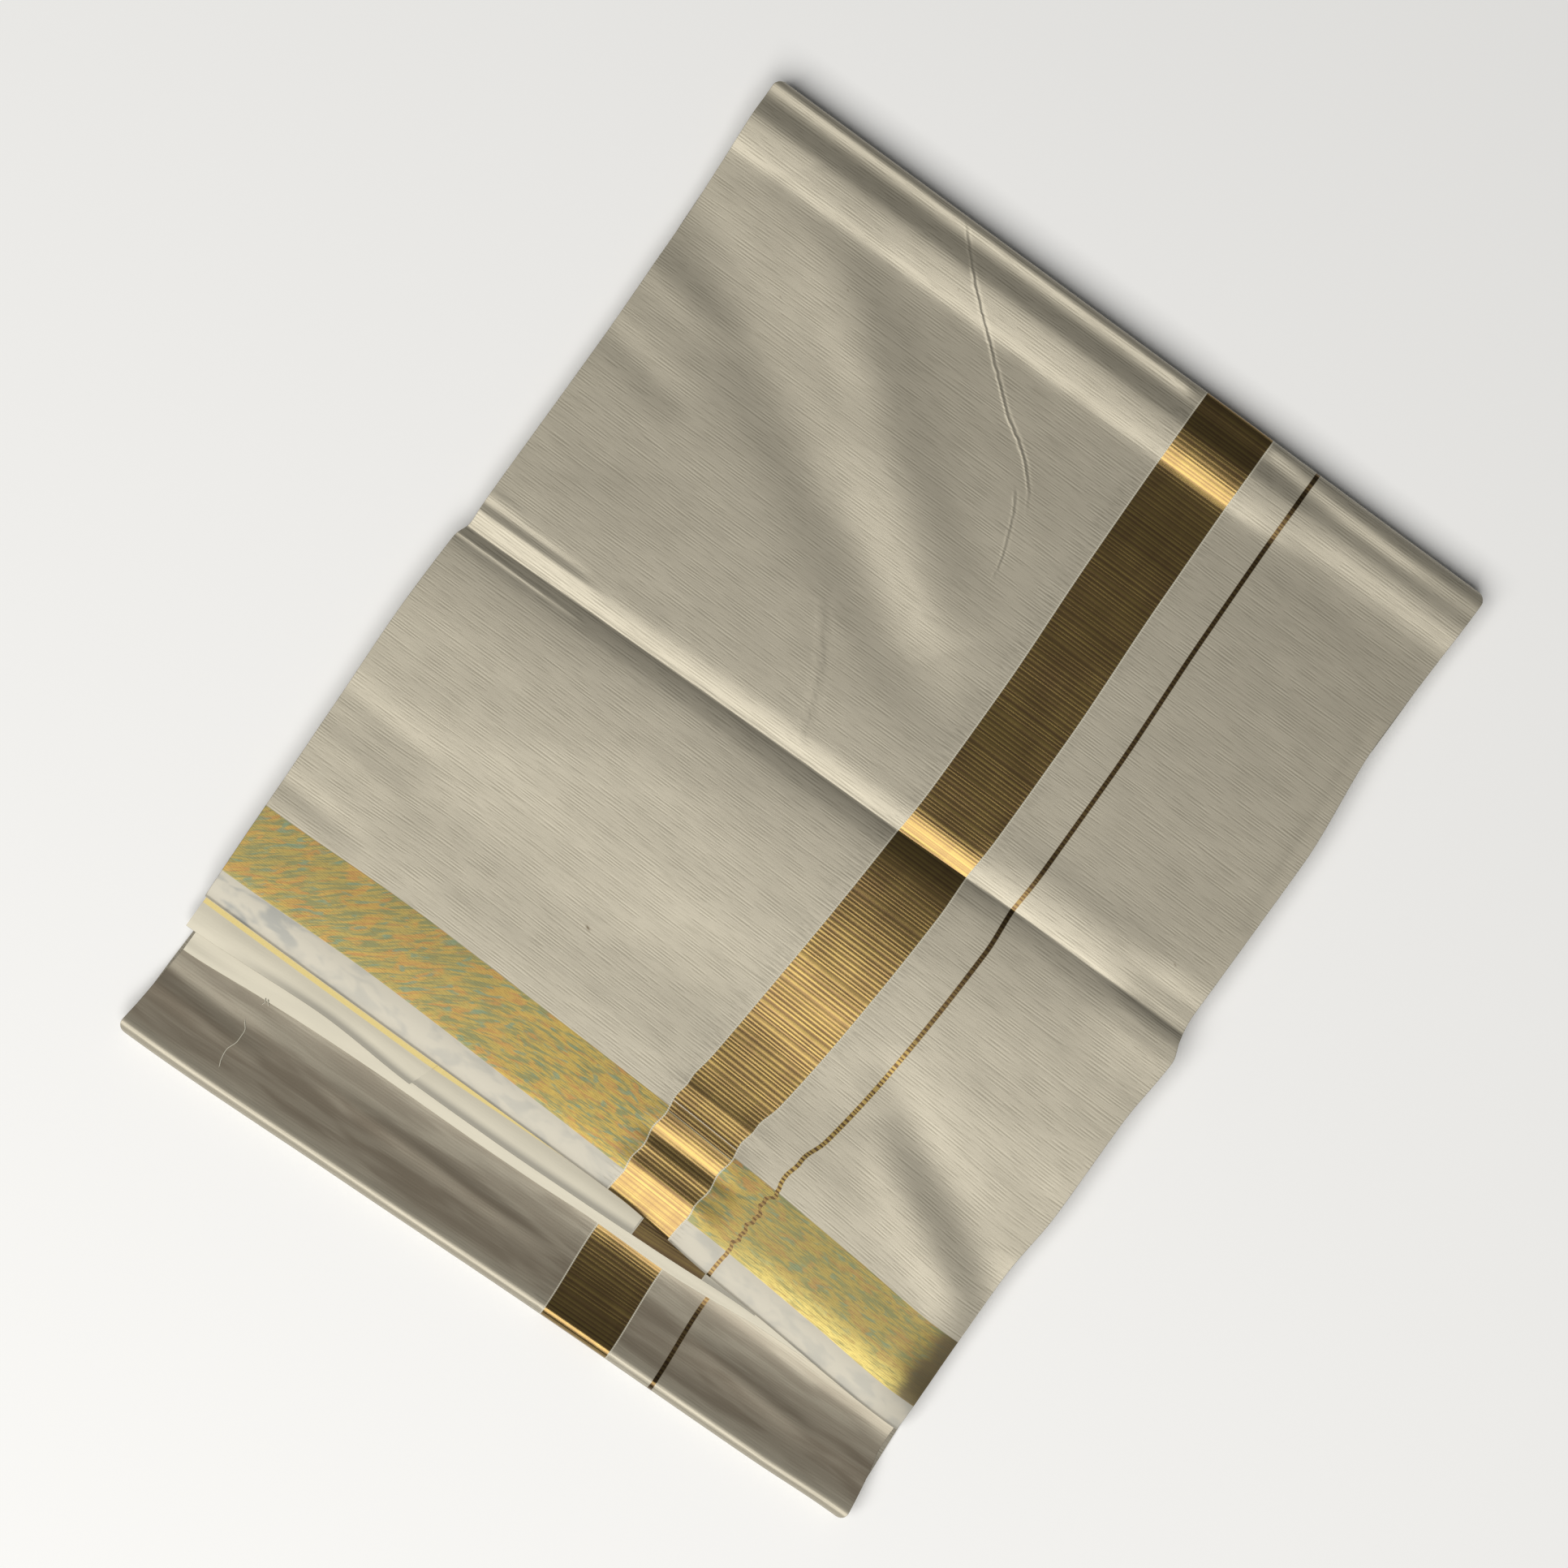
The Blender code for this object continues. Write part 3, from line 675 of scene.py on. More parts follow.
def build_end_layer(layer, material, seed):
    """One layer of the cloth's end, with the ply edges showing along its lower edge too."""
    edge_v = curve_through(layer.edge)
    lift = layer.level * (GAP + END_WALL)
    shares = stations((0, 1, 0.0016 / (layer.right - layer.left)))[None, :]
    depth = stations((0, 1, 0.03))[:, None]
    u = between(layer.left, layer.right, shares) + 0 * depth
    v = between(panel_start(u) + STEP_RUN / 2, edge_v(u), depth)
    at_seam = {"end_layer_left": shares, "end_layer_middle": 1 - shares}.get(layer.name, 0 * shares) ** 6
    u = u + SEAM_SLANT * (v - edge_v(u)) * at_seam
    nose = smooth_step(v, edge_v(u) - END_NOSE, edge_v(u))
    points = place(u, v, lower_surface(u, v) + lift - END_NOSE_DROP * nose**2)
    cloth = np.stack([u, v - edge_v(u)], axis=-1)
    below = v - flap_v(u) + LINE_SLANT * np.maximum(0, u - END_LAYERS[2].left)
    added, added_cloth = [], []
    for out, down, wander in ply_profile(END_PLIES, END_WALL, seed):
        shift = out - unevenness(wander, u[-1], down)
        added.append(points[-1] + np.stack([0 * shift, -shift, 0 * shift - down], axis=-1))
        added_cloth.append(cloth[-1] + [0, down])
    points = np.concatenate([points, np.stack(added)])
    cloth = np.concatenate([cloth, np.stack(added_cloth)])
    end = grid_mesh(layer.name + "_cloth", points, cloth, material)
    below_flap = end.data.attributes.new("below_flap", "FLOAT", "POINT")
    below = np.concatenate([below.ravel(), np.full(len(added) * shares.size, NO_LINE)])
    below_flap.data.foreach_set("value", packed(below / MM))
    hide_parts(layer.name)


THREAD_SIDES = 6


def thread_mesh(points, uv_at):
    """A thin tube that lies on the lower cloth along a line: its points, faces and cloth positions."""
    vs = np.array([p.v for p in points])
    u_at = curve_through(swapped(points))
    v = np.linspace(vs[0], vs[-1], 6 * len(points))
    past_edge = v - curve_through(END_LAYERS[0].edge)(u_at(v))
    on_layer = (GAP + END_WALL) * smooth_step(past_edge, 0.0010, -0.0002)
    u = u_at(v)
    centre = place(u, v, lower_surface(u, v) + lower_relief(u, v) + on_layer + 0.6 * THREAD_RADIUS)
    run = np.gradient(centre, axis=0)
    run /= np.linalg.norm(run, axis=1, keepdims=True)
    side = np.cross(run, [0, 0, 1])
    side /= np.linalg.norm(side, axis=1, keepdims=True)
    up = np.cross(side, run)
    from_end = np.minimum(np.arange(len(v)), np.arange(len(v))[::-1])
    taper = THREAD_RADIUS * np.clip(from_end / 2, 0.25, 1)[:, None, None]
    turns = 2 * math.pi * np.arange(THREAD_SIDES) / THREAD_SIDES
    ring = side[:, None, :] * np.cos(turns)[None, :, None] + up[:, None, :] * np.sin(turns)[None, :, None]
    grid = centre[:, None, :] + taper * ring
    shape = grid.shape[:2]
    cloth = np.stack([np.full(shape, uv_at), np.broadcast_to(v[:, None], shape)], axis=-1)
    return grid.reshape(-1, 3), tube_faces(*shape), cloth.reshape(-1, 2)


def build_stray_threads(material):
    """One loose thread on the lower cloth, and short frayed ends at the end layer's edge."""
    parts = [thread_mesh(line, THREAD_CLOTH_START + 0.01 * k) for k, line in enumerate(STRAY_THREADS)]
    threads = add_mesh("stray_threads", *joined(parts), material)


LAYERS = 8
LOW_LAYERS = 2
INNER_END = 0.3345
INNER_SPACING = 0.0022
INNER_FILL = 0.44
HALF_STRIP = 0.0008
INNER_INSET = 0.0011
LOW_SIDES_FROM = 0.36
TURN_STEPS = 10
ROUND_STEPS = 6


def side_surface(v):
    """The lower of the top cloth's heights along its two sides."""
    return np.minimum(top_surface(0.012, v, v), top_surface(0.3205, v, v))


def build_inner_layers(material):
    """The folded cloth inside: flat layers that turn back inside the folds, edges showing at the sides."""
    floor = WALL + GAP
    middle_u = 0.5 * (upper_left(0.1) + upper_right(0.1))
    bottom = float(bottom_v(middle_u))
    top_end, low_end = TOP_RADIUS, bottom - BOTTOM_RADIUS

    def upper_top(v):
        return side_surface(v) - WALL - GAP

    def lower_top(v):
        return lower_surface(middle_u, v) - WALL - GAP

    def level(k, v):
        upper = floor + (k + 0.5) / LAYERS * (upper_top(v) - floor)
        lower = floor + (k + 0.5) / LOW_LAYERS * (lower_top(v) - floor)
        down = smooth_step(v, INNER_END - 0.0155, INNER_END + 0.0005)
        return between(upper, lower, down) if k < LOW_LAYERS else upper

    def run(k, start, stop):
        return [(v, float(level(k, v))) for v in stations((start, stop, INNER_SPACING))]

    def turn(k, j, v, way):
        """Points round a fold from level k to level j. The way is 1 at the bottom and -1 at the top."""
        a, b = float(level(k, v)), float(level(j, v))
        radius, centre = (a - b) / 2, (a + b) / 2
        angles = [math.pi * i / TURN_STEPS for i in range(1, TURN_STEPS)]
        return [(v + way * abs(radius) * math.sin(t), centre + radius * math.cos(t)) for t in angles]

    def slanted(u, v):
        """A place down the bundle, moved with the slant of the step and then of the bottom fold."""
        at_step = smooth_step(v, INNER_END - 0.0125, INNER_END)
        at_fold = smooth_step(v, 0.345, 0.400)
        step_shift = row_v(u, STEP_ROW) - row_v(0.010, STEP_ROW)
        return v + at_step * (1 - at_fold) * step_shift + at_fold * (bottom_v(u) - bottom)

    paths = [
        run(7, INNER_END, top_end) + turn(7, 0, top_end, -1) + run(0, top_end, low_end)
        + turn(0, 1, low_end, 1) + run(1, low_end, top_end) + turn(1, 6, top_end, -1)
        + run(6, top_end, INNER_END - 0.002),
        run(5, INNER_END - 0.001, top_end) + turn(5, 2, top_end, -1) + run(2, top_end, INNER_END - 0.003),
        run(4, INNER_END - 0.004, top_end) + turn(4, 3, top_end, -1) + run(3, top_end, INNER_END),
    ]
    parts, length = [], 0.0
    for number, path in enumerate(paths):
        path = np.array(path)
        keep = np.append(True, np.linalg.norm(np.diff(path, axis=0), axis=1) > 1e-6)
        v, z = path[keep].T
        along = np.cumsum(np.append(0, np.hypot(np.diff(v), np.diff(z))))
        length += along[-1]
        tangent_v, tangent_z = np.gradient(v, along), np.gradient(z, along)
        size = np.hypot(tangent_v, tangent_z)
        normal_v, normal_z = -tangent_z / size, tangent_v / size
        held_v = np.clip(v, top_end, low_end)
        room = np.where(held_v < INNER_END + 0.001, upper_top(held_v), lower_top(held_v)) - floor
        half = np.minimum(INNER_FILL * room / np.where(v > INNER_END, LOW_LAYERS, LAYERS), HALF_STRIP)
        inset_left = INNER_INSET + 0.0005 * wandering(200 + number)(along)
        inset_right = INNER_INSET + 0.0005 * wandering(220 + number)(along)
        left = np.where(v < LOW_SIDES_FROM, upper_left(v), lower_left(v)) + corner_inset(v) + inset_left
        right = np.where(v < LOW_SIDES_FROM, upper_right(v), lower_right(v)) - corner_inset(v) - inset_right
        columns = []
        for edge, way in ((left, 1), (right, -1)):
            for i in range(ROUND_STEPS + 1):
                angle = way * math.pi / 2 + math.pi * i / ROUND_STEPS
                u, rise = edge + way * half * (1 + way * math.cos(angle)), half * math.sin(angle)
                columns.append(place(u, slanted(u, v) + normal_v * rise, z + normal_z * rise))
        grid = np.stack(columns, axis=1)
        shape = grid.shape[:2]
        uv = np.stack([grid[:, :, 0] + INNER_CLOTH_START, np.broadcast_to(along[:, None], shape)], axis=-1)
        faces = tube_faces(*shape)[:, [0, 3, 2, 1]]
        parts.append((grid.reshape(-1, 3), faces, uv.reshape(-1, 2)))
    inner = add_mesh("inner_layers", *joined(parts), material)
    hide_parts("hidden_layers")


# Materials
class Cloth:
    """Builds one cloth material. Each layer is laid over the ones before it; lengths are in millimetres."""

    def __init__(self, name):
        self.material = bpy.data.materials.new(name)
        self.material.use_nodes = True
        self.tree = self.material.node_tree
        self.shader = self.tree.nodes["Principled BSDF"]
        cloth = self.new("ShaderNodeUVMap")
        cloth.uv_map = "cloth"
        split = self.new("ShaderNodeSeparateXYZ", ((0, cloth.outputs["UV"]),))
        self.x = self.times(split.outputs["X"], 1000.0)
        self.y = self.times(split.outputs["Y"], 1000.0)
        self.colour = (0.4, 0.4, 0.4)
        self.metal = 0.0
        self.rough = 0.5
        self.height = 0.0

    def new(self, kind, inputs=()):
        """A new node, with values or links on the given sockets."""
        node = self.tree.nodes.new(kind)
        for socket, value in inputs:
            self.join(value, node.inputs[socket])
        return node

    def attribute(self, name):
        node = self.new("ShaderNodeAttribute")
        node.attribute_name = name
        return node

    def join(self, value, socket):
        if isinstance(value, bpy.types.NodeSocket):
            self.tree.links.new(value, socket)
        elif isinstance(value, tuple) and len(value) == 3 and socket.type == "RGBA":
            socket.default_value = (*value, 1.0)
        else:
            socket.default_value = value

    def math(self, operation, *values):
        node = self.new("ShaderNodeMath", enumerate(values))
        node.operation = operation
        return node.outputs[0]

    def add(self, *values):
        total = values[0]
        for value in values[1:]:
            total = self.math("ADD", total, value)
        return total

    def less(self, a, b):
        return self.math("SUBTRACT", a, b)

    def times(self, *values):
        product = values[0]
        for value in values[1:]:
            product = self.math("MULTIPLY", product, value)
        return product

    def mix(self, share, a, b):
        node = self.new("ShaderNodeMix", ((0, share), (6, a), (7, b)))
        node.data_type = "RGBA"
        return node.outputs[2]

    def blend(self, share, a, b):
        return self.new("ShaderNodeMix", ((0, share), (2, a), (3, b))).outputs[0]

    def spread(self, value, low, high, to_low=0.0, to_high=1.0):
        node = self.new("ShaderNodeMapRange", enumerate((value, low, high, to_low, to_high)))
        node.interpolation_type = "SMOOTHSTEP"
        return node.outputs[0]

    def inside(self, value, low, high, soft=0.12):
        """1 where a value lies between two limits, 0 outside, with soft limits."""
        return self.times(
            self.spread(value, low - soft, low + soft),
            self.spread(value, high - soft, high + soft, 1.0, 0.0),
        )

    def noise(self, across, along, detail=2.0, wander=0.0, seed=0.0, y=None):
        """Uneven values from 0 to 1, in patches of the given size."""
        x, y = self.times(self.x, 1.0 / across), self.times(self.y if y is None else y, 1.0 / along)
        spot = self.new("ShaderNodeCombineXYZ", ((0, x), (1, y), (2, seed)))
        inputs = (("Vector", spot.outputs[0]), ("Scale", 1.0), ("Detail", detail), ("Distortion", wander))
        return self.new("ShaderNodeTexNoise", inputs).outputs["Fac"]

    def wave(self, value, pitch, wander=0.0):
        """A sine of a length, from 0 to 1, its phase moved by a number of turns."""
        turns = self.times(self.add(self.times(value, 1.0 / pitch), wander), 2 * math.pi)
        return self.add(0.5, self.times(0.5, self.math("SINE", turns)))

    def lay(self, mask, colour=None, metal=None, rough=None, height=None):
        if colour is not None:
            self.colour = self.mix(mask, self.colour, colour)
        if metal is not None:
            self.metal = self.blend(mask, self.metal, metal)
        if rough is not None:
            self.rough = self.blend(mask, self.rough, rough)
        if height is not None:
            self.height = self.blend(mask, self.height, height)

    def finish(self):
        bump = self.new("ShaderNodeBump", (("Strength", 1.0), ("Distance", MM), ("Height", self.height)))
        for socket, value in (
            ("Base Color", self.colour), ("Metallic", self.metal), ("Roughness", self.rough),
            ("Normal", bump.outputs[0]), ("Sheen Weight", 0.08), ("Sheen Roughness", 0.4),
        ):
            self.join(value, self.shader.inputs[socket])
        return self.material


def scaled(colour, tone):
    return tuple(tone * part for part in colour)


CREAM = (0.425, 0.388, 0.305)
CREAM_DARK = (0.262, 0.236, 0.178)
CREAM_LIGHT = (0.497, 0.459, 0.366)
# Colour of the painted shade on the lower stretch
PAINTED_SHADE_CREAM = (0.155, 0.125, 0.087)
PLAIN_CREAM = (0.388, 0.362, 0.298)
PLAIN_GREY = (0.235, 0.238, 0.220)
END_CREAM = (0.472, 0.440, 0.350)
HAIR_CREAM = (0.58, 0.55, 0.45)
GOLD = (0.350, 0.252, 0.083)
GOLD_GAP = (0.143, 0.082, 0.046)
WEFT_YELLOW = (0.372, 0.266, 0.061)
WEFT_GREEN = (0.178, 0.182, 0.078)
WEFT_ORANGE = (0.335, 0.186, 0.058)
WEFT_BLUE = (0.135, 0.205, 0.135)
WEFT_DARK = (0.130, 0.090, 0.030)
WEFT_END = (0.120, 0.093, 0.050)
WEFT_LIT = (0.560, 0.450, 0.140)
LINE_YELLOW = (0.57, 0.455, 0.165)
RIB_PITCH = 1.6
GLINT_LINES = (318.7, 322.8)
Fleck = namedtuple("Fleck", "x y size strength")
FLECKS = (
    Fleck(x=-130.2, y=47.6, size=0.7, strength=0.50),
    Fleck(x=-149.4, y=63.6, size=0.6, strength=0.45),
    Fleck(x=-97.0, y=23.9, size=0.6, strength=0.45),
    Fleck(x=109.9, y=173.8, size=0.8, strength=0.55),
    Fleck(x=-62.6, y=288.7, size=1.3, strength=0.85),
)
SLUB_PITCH = 1.1
WARP = 1000 * WARP_WIDTH
WEFT_LOW = 1000 * WEFT_START
WEFT_HIGH = 1000 * (WEFT_START + WEFT_WIDTH)


def weave_ground(c, tone=1.0, slubs=1.0):
    """Cream cloth with fine metal thread: bundles of thin straight threads, dark and light, across it."""
    light, dark = scaled(CREAM_LIGHT, tone), scaled(CREAM_DARK, tone)
    lines = c.wave(c.y, SLUB_PITCH, c.times(c.noise(90.0, 8.0, seed=1.0), 2.0))
    bundles = c.noise(11.0, 2.6, detail=3.0, seed=2.0)
    strength = c.times(c.spread(bundles, 0.40, 0.62), slubs)
    grain = c.noise(0.6, 0.25, detail=1.0, seed=4.0)
    cloud = c.noise(45.0, 18.0, seed=5.0)
    c.colour = scaled(CREAM, tone)
    c.lay(c.times(c.spread(lines, 0.45, 0.02), strength, 0.85), light)
    c.lay(c.times(c.spread(lines, 0.55, 0.98), strength, 0.80), dark)
    hairs = c.noise(14.0, 0.42, detail=1.0, seed=6.0)
    c.lay(c.times(c.spread(hairs, 0.50, 0.66), slubs, 0.40), dark)
    c.lay(c.spread(cloud, 0.35, 0.70, 0.0, 0.16), dark)
    c.lay(c.spread(grain, 0.35, 0.75, 0.0, 0.22), light)
    c.metal = c.blend(strength, 0.42, 0.46)
    c.rough = c.blend(bundles, 0.40, 0.48)
    c.height = c.add(c.times(lines, strength, -0.012), c.times(grain, 0.005))


def plain_stretch(c):
    """The plain end of the cloth, smoother, paler and a little blue, with a few soft grey clouds."""
    area = c.spread(c.y, WEFT_HIGH - 0.3, WEFT_HIGH + 0.3)
    cloud = c.spread(c.noise(13.0, 6.0, wander=0.4, seed=21.0), 0.44, 0.66)
    left_end = c.spread(c.x, -184.0, -120.0, 1.0, 0.0)
    share = c.times(cloud, c.blend(left_end, 0.40, 0.95))
    c.lay(area, c.mix(share, PLAIN_CREAM, PLAIN_GREY), metal=0.30, rough=0.42)
    c.lay(area, height=c.times(c.noise(4.0, 0.4, seed=22.0), 0.010))


def weft_band(c):
    """The smooth gold band across, with green, orange and yellow patches in thin streaks and arcs."""
    band = c.inside(c.y, WEFT_LOW, WEFT_HIGH, 0.2)
    leaning = c.math("SMOOTH_MIN", c.add(c.x, 75.0), 0.0, 40.0)
    bent = c.add(c.y, c.times(c.x, 0.05), c.times(leaning, 0.55))
    long_streak = c.spread(c.x, -90.0, -40.0)
    patch = c.noise(10.0, 3.2, wander=0.6, seed=31.0, y=bent)
    streak = c.noise(9.0, 1.0, detail=3.0, wander=0.3, seed=32.0, y=bent)
    blue = c.noise(6.5, 2.2, detail=1.0, wander=0.4, seed=33.0, y=bent)
    olive = c.spread(c.x, 25.0, 60.0, 0.0, 0.35)
    across = c.wave(c.y, 0.75, c.times(c.noise(60.0, 9.0, seed=35.0), 2.0))
    along = c.wave(c.x, 0.75, c.times(c.noise(9.0, 60.0, seed=36.0), 2.0))
    thread = c.noise(2.4, 0.4, seed=34.0)
    gold = c.mix(c.spread(patch, 0.47, 0.60), WEFT_GREEN, WEFT_ORANGE)
    gold = c.mix(c.times(c.spread(streak, 0.40, 0.58), c.blend(long_streak, 0.65, 0.95)), gold, WEFT_YELLOW)
    gold = c.mix(c.spread(blue, 0.58, 0.70, 0.0, 0.75), gold, WEFT_BLUE)
    gold = c.mix(olive, gold, WEFT_GREEN)
    lit = c.times(c.spread(c.y, WEFT_HIGH - 11.0, WEFT_HIGH - 3.0), c.spread(c.x, 25.0, 90.0))
    gold = c.mix(c.times(lit, c.spread(streak, 0.35, 0.55, 0.35, 0.85)), gold, WEFT_LIT)
    weave = c.add(across, c.times(along, 0.6))
    gold = c.mix(c.times(weave, c.spread(thread, 0.35, 0.65), 0.34), gold, WEFT_DARK)
    # The band is coloured darker towards its right end, where the corner droops.
    gold = c.mix(c.spread(c.add(c.x, c.times(patch, 6.0)), 133.5, 141.5, 0.0, 0.90), gold, WEFT_END)
    c.lay(band, gold, metal=0.62, rough=0.40)
    c.lay(band, height=c.add(c.times(across, 0.006), c.times(along, 0.004), c.times(streak, 0.012)))


def warp_ribs(c):
    """Height of the fine ribs across the warp band: even over its width, uneven along it."""
    drift = c.times(c.noise(300.0, 5.0, detail=1.0, seed=41.0), 2.2)
    return c.wave(c.y, RIB_PITCH, drift)


def beside_warp_band(c, at, ribs):
    """Stronger ribs and small dark ticks in the cloth next to the warp band."""
    near = c.add(
        c.inside(c.x, at - 7.0, at, 2.5),
        c.times(c.inside(c.x, at + WARP, at + WARP + 4.0, 2.0), 0.8),
    )
    length = c.noise(5.0, 0.8, seed=42.0)
    tick = c.times(near, c.spread(ribs, 0.40, 0.10), c.spread(length, 0.40, 0.60))
    c.lay(c.times(tick, 0.50), scaled(CREAM_DARK, 0.8))
    c.lay(c.times(near, 0.5), height=c.times(ribs, 0.020))


def warp_band(c, at=0.0, gold_tone=1.0):
    """The gold thread band along the cloth, with a cream cord line at each edge."""
    ribs = warp_ribs(c)
    if gold_tone == 1.0:
        beside_warp_band(c, at, ribs)
    band = c.inside(c.x, at, at + WARP, 0.10)
    gap = c.spread(ribs, 0.02, 0.50, 1.0, 0.0)
    each = c.noise(400.0, 1.1, detail=1.0, seed=43.0)
    threads = c.noise(0.7, 9.0, seed=44.0)
    long_patches = c.noise(9.0, 26.0, wander=0.5, seed=45.0)
    # Some ribs, and long patches along the band, are coloured darker than others.
    rib_unevenness = c.add(c.times(each, 0.6), c.times(threads, 0.1), c.times(long_patches, 0.3))
    gold = c.mix(c.spread(rib_unevenness, 0.38, 0.60, 0.60, 0.15), scaled(GOLD, gold_tone), scaled(GOLD_GAP, gold_tone))
    gold = c.mix(c.times(gap, 0.55), gold, scaled(GOLD_GAP, gold_tone))
    c.lay(band, gold, metal=0.93, rough=0.24)
    c.lay(band, height=c.add(c.times(ribs, 0.019), c.times(threads, 0.001)))
    for glint in GLINT_LINES:
        c.lay(c.times(band, c.inside(c.y, glint - 0.12, glint + 0.12, 0.10), 0.8), HAIR_CREAM, metal=0.3)
    for edge in (at - 0.35, at + WARP + 0.35):
        cord = c.inside(c.x, edge - 0.25, edge + 0.25, 0.15)
        twist = c.wave(c.y, 0.8)
        cream = c.mix(c.times(twist, 0.5), scaled(HAIR_CREAM, min(1.0, 3 * gold_tone)), CREAM_DARK)
        c.lay(c.times(cord, 0.85), cream, metal=0.1, height=c.times(twist, 0.03))


def buckled_warp_line(c):
    """The narrow line as it swings from side to side across the weft band."""
    swing = c.add(c.math("SINE", c.times(c.y, 0.62)), c.times(c.math("SINE", c.times(c.y, 1.55)), 0.6))
    thin_warp_line(c, c.add(c.x, c.times(swing, c.inside(c.y, 320.0, 349.0, 3.0), 0.75)))


def thin_warp_line(c, x=None):
    """The narrow dark gold line beside the band, in dashes, with painted highlight: the dashes turn more
    golden further down the cloth.
    """
    x = c.x if x is None else x
    half = 500 * THIN_LINE_WIDTH
    at = 1000 * THIN_LINE_AT
    line = c.inside(x, at - half, at + half, 0.2)
    dash = c.spread(warp_ribs(c), 0.15, 0.70)
    # Painted highlight: the dashes are more golden from about 250 mm down, and less again from the weft band.
    painted_highlight = c.times(c.spread(c.y, 232.0, 268.0, 0.30, 0.85), c.spread(c.y, 318.0, 326.0, 1.0, 0.45))
    gold = c.mix(c.times(dash, painted_highlight), (0.085, 0.052, 0.026), scaled(GOLD, 0.85))
    c.lay(line, gold, metal=0.95, rough=0.26, height=c.times(dash, 0.006))


def specks(c):
    """A few tiny flecks caught in the cloth, each an uneven dark spot."""
    for fleck in FLECKS:
        off_x = c.times(c.less(c.x, fleck.x), 1.0 / fleck.size)
        off_y = c.times(c.less(c.y, fleck.y), 1.6 / fleck.size)
        bent = c.less(off_x, c.times(off_y, 0.6))
        near = c.math("EXPONENT", c.times(c.add(c.times(bent, bent), c.times(off_y, off_y)), -2.0))
        c.lay(c.times(near, fleck.strength), (0.110, 0.075, 0.035))


def weft_line(c, at, low, high):
    """The narrow yellow line across, near the cloth's end, placed by its distance from the flap's edge."""
    below = c.attribute("below_flap").outputs["Fac"]
    line = c.times(c.inside(below, at - 1.0, at + 1.0, 0.25), c.inside(c.x, low, high, 0.5))
    thread = c.noise(0.8, 0.4, detail=1.0, seed=51.0)
    c.lay(line, c.mix(c.spread(thread, 0.35, 0.65, 0.0, 0.4), LINE_YELLOW, (0.60, 0.50, 0.24)), metal=0.35)


def wrinkle(c):
    """Thin sharp handling wrinkles: the mesh tells how far away each one is and how deep it is there."""
    for each in WRINKLES:
        part = c.new("ShaderNodeSeparateXYZ", ((0, c.attribute(each.name).outputs["Vector"]),))
        wobble = c.less(c.noise(3.0, 3.0, detail=1.0, seed=61.0), 0.5)
        distance = c.add(part.outputs["X"], c.times(wobble, 0.8))
        ridge = c.math("EXPONENT", c.times(distance, distance, -3.2))
        beside = c.less(distance, 0.9)
        groove = c.math("EXPONENT", c.times(beside, beside, -2.2))
        c.height = c.add(c.height, c.times(c.less(ridge, c.times(groove, 0.6)), part.outputs["Y"]))


def painted_lower_shade(c):
    """Painted shade: dark clouds where the lower stretch slopes away to the surface it lies on."""
    streak = c.spread(c.noise(42.0, 5.0, wander=0.3, seed=71.0), 0.38, 0.62)
    for low, high, least, most in ((-166.0, -132.0, 0.36, 0.62), (-150.0, -129.0, 0.48, 0.72)):
        shade = c.times(c.inside(c.y, low, high, 4.0), c.blend(streak, least, most))
        c.lay(shade, PAINTED_SHADE_CREAM, metal=0.45)


def tissue(name, layers=(), tone=1.0, slubs=1.0):
    """The woven ground and the layers that are laid over it, in their order."""
    c = Cloth(name)
    weave_ground(c, tone, slubs)
    for layer in layers:
        layer(c)
    return c.finish()


def tissue_end(name, tone, line=None, band_at=None, painted_shade_from=None):
    """Cloth of the plain end, paler and smoother. A painted shade is a grey strip along its lower edge."""
    c = Cloth(name)
    weave_ground(c, slubs=0.30)
    c.lay(0.85, scaled(END_CREAM, tone), metal=0.28, rough=0.45)
    soft = c.spread(c.noise(30.0, 6.0, seed=52.0), 0.35, 0.70, 0.0, 0.22)
    c.lay(soft, scaled(END_CREAM, 0.7))
    # Painted shade: a grey strip along the lower edge, stronger further across.
    if painted_shade_from is not None:
        edge = c.spread(c.y, -4.0, -0.9)
        c.lay(c.times(edge, c.spread(c.x, painted_shade_from, painted_shade_from + 55.0)), scaled(END_CREAM, 0.42))
    if line is not None:
        weft_line(c, *line)
    if band_at is not None:
        # The band on this layer is coloured far darker than on the top cloth.
        warp_band(c, at=band_at, gold_tone=0.16)
    return c.finish()


def loose_thread():
    c = Cloth("loose_thread")
    twist = c.wave(c.y, 0.5)
    c.colour = c.mix(c.times(twist, 0.4), HAIR_CREAM, CREAM_DARK)
    c.rough = c.blend(c.noise(1.0, 1.0, seed=81.0), 0.55, 0.75)
    c.height = c.times(twist, 0.02)
    return c.finish()


# Floor, light and camera
FLOOR_HALF = 3.0
FLOOR_DROP = 0.0002
FLOOR_TONE = (0.92, 0.92, 0.92, 1.0)
SKY_TONE = (0.93, 0.96, 1.0, 1.0)
SKY_STRENGTH = 0.10


def build_stage():
    mesh = bpy.data.meshes.new("floor")
    corners = [(x * FLOOR_HALF, y * FLOOR_HALF, 0) for x, y in ((-1, -1), (1, -1), (1, 1), (-1, 1))]
    mesh.from_pydata(corners, [], [(0, 1, 2, 3)])
    material = bpy.data.materials.new("floor")
    material.use_nodes = True
    shader = material.node_tree.nodes["Principled BSDF"]
    shader.inputs["Base Color"].default_value = FLOOR_TONE
    shader.inputs["Roughness"].default_value = 0.9
    shader.inputs["Specular IOR Level"].default_value = 0.1
    mesh.materials.append(material)
    floor = bpy.data.objects.new("floor", mesh)
    floor.location.z = -FLOOR_DROP
    bpy.context.scene.collection.objects.link(floor)


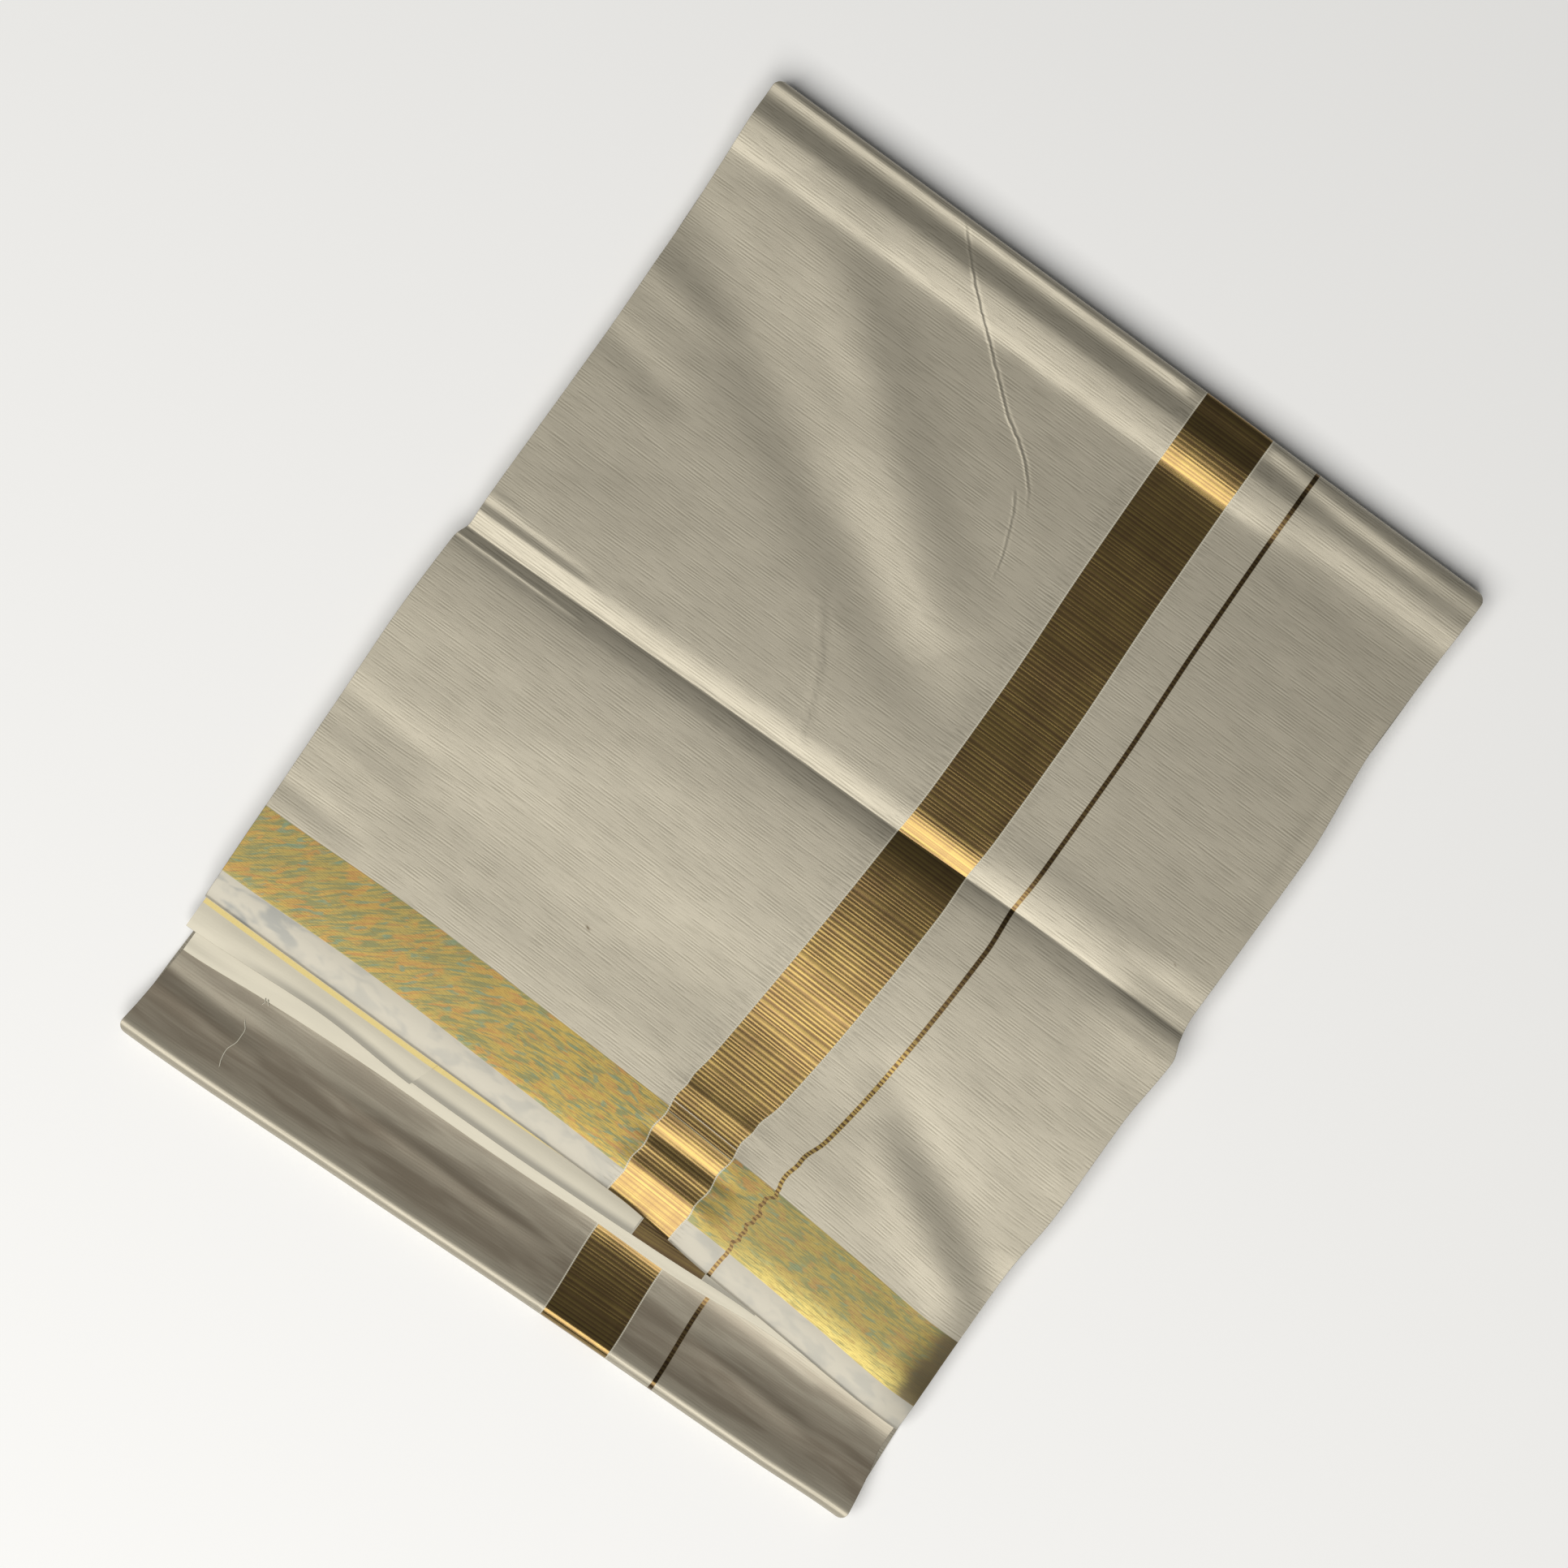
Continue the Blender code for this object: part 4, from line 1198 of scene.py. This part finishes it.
def add_softbox(name, tilt, turn, distance, size, power, colour):
    """A flat soft light that faces the bundle: tilt from straight above, turn from the -Y side."""
    light = bpy.data.lights.new(name, "AREA")
    light.shape = "RECTANGLE"
    light.size, light.size_y = size
    light.energy = power
    light.color = colour
    lamp = bpy.data.objects.new(name, light)
    bpy.context.scene.collection.objects.link(lamp)
    aim = Matrix.Rotation(math.radians(turn), 4, "Z") @ Matrix.Rotation(math.radians(tilt), 4, "X")
    lamp.matrix_world = aim @ Matrix.Translation((0, 0, distance))


def build_light():
    world = bpy.data.worlds.new("studio")
    world.use_nodes = True
    background = world.node_tree.nodes["Background"]
    background.inputs["Color"].default_value = SKY_TONE
    background.inputs["Strength"].default_value = SKY_STRENGTH
    bpy.context.scene.world = world
    add_softbox("key", tilt=31, turn=0, distance=3.0, size=(3.2, 2.7), power=113.0, colour=(1.0, 0.985, 0.95))


CAMERA_HEIGHT = 1.60
VIEW_WIDTH = 0.5661
VIEW_PLANE = 0.010
VIEW_ROLL = math.radians(36.28)
VIEW_CENTRE = (0.1524, 0.2047)
SENSOR = 36.0


def build_camera():
    camera = bpy.data.cameras.new("camera")
    camera.sensor_width = SENSOR
    camera.lens = SENSOR * (CAMERA_HEIGHT - VIEW_PLANE) / VIEW_WIDTH
    camera.clip_start = 0.01
    body = bpy.data.objects.new("camera", camera)
    bpy.context.scene.collection.objects.link(body)
    x, y, z = place(*VIEW_CENTRE, CAMERA_HEIGHT)
    body.matrix_world = Matrix.Translation((x, y, z)) @ Matrix.Rotation(VIEW_ROLL, 4, "Z")
    bpy.context.scene.camera = body


def main():
    build_camera()
    build_stage()
    build_light()
    bpy.context.scene.view_settings.view_transform = "Standard"
    front = tissue("tissue_front", (wrinkle, plain_stretch, weft_band, warp_band, buckled_warp_line, specks))
    back = tissue("tissue_back", (warp_band, thin_warp_line))
    build_top_cloth(front)
    build_lower_cloth(tissue("tissue_lower", (painted_lower_shade, warp_band, thin_warp_line), slubs=0.45))
    build_back_cloth(back)
    ends = (
        tissue_end("tissue_end_full", 0.93),
        tissue_end("tissue_end_left", 1.00, line=(1.3, 0.0, 200.0), painted_shade_from=12.0),
        tissue_end("tissue_end_middle", 0.92, line=(1.3, 100.0, 168.0), band_at=204.4, painted_shade_from=62.0),
    )
    for layer, material, seed in zip(END_LAYERS, ends, (91, 97, 103)):
        build_end_layer(layer, material, seed)
    build_inner_layers(tissue("tissue_inside", tone=0.95, slubs=0.6))
    build_stray_threads(loose_thread())


main()
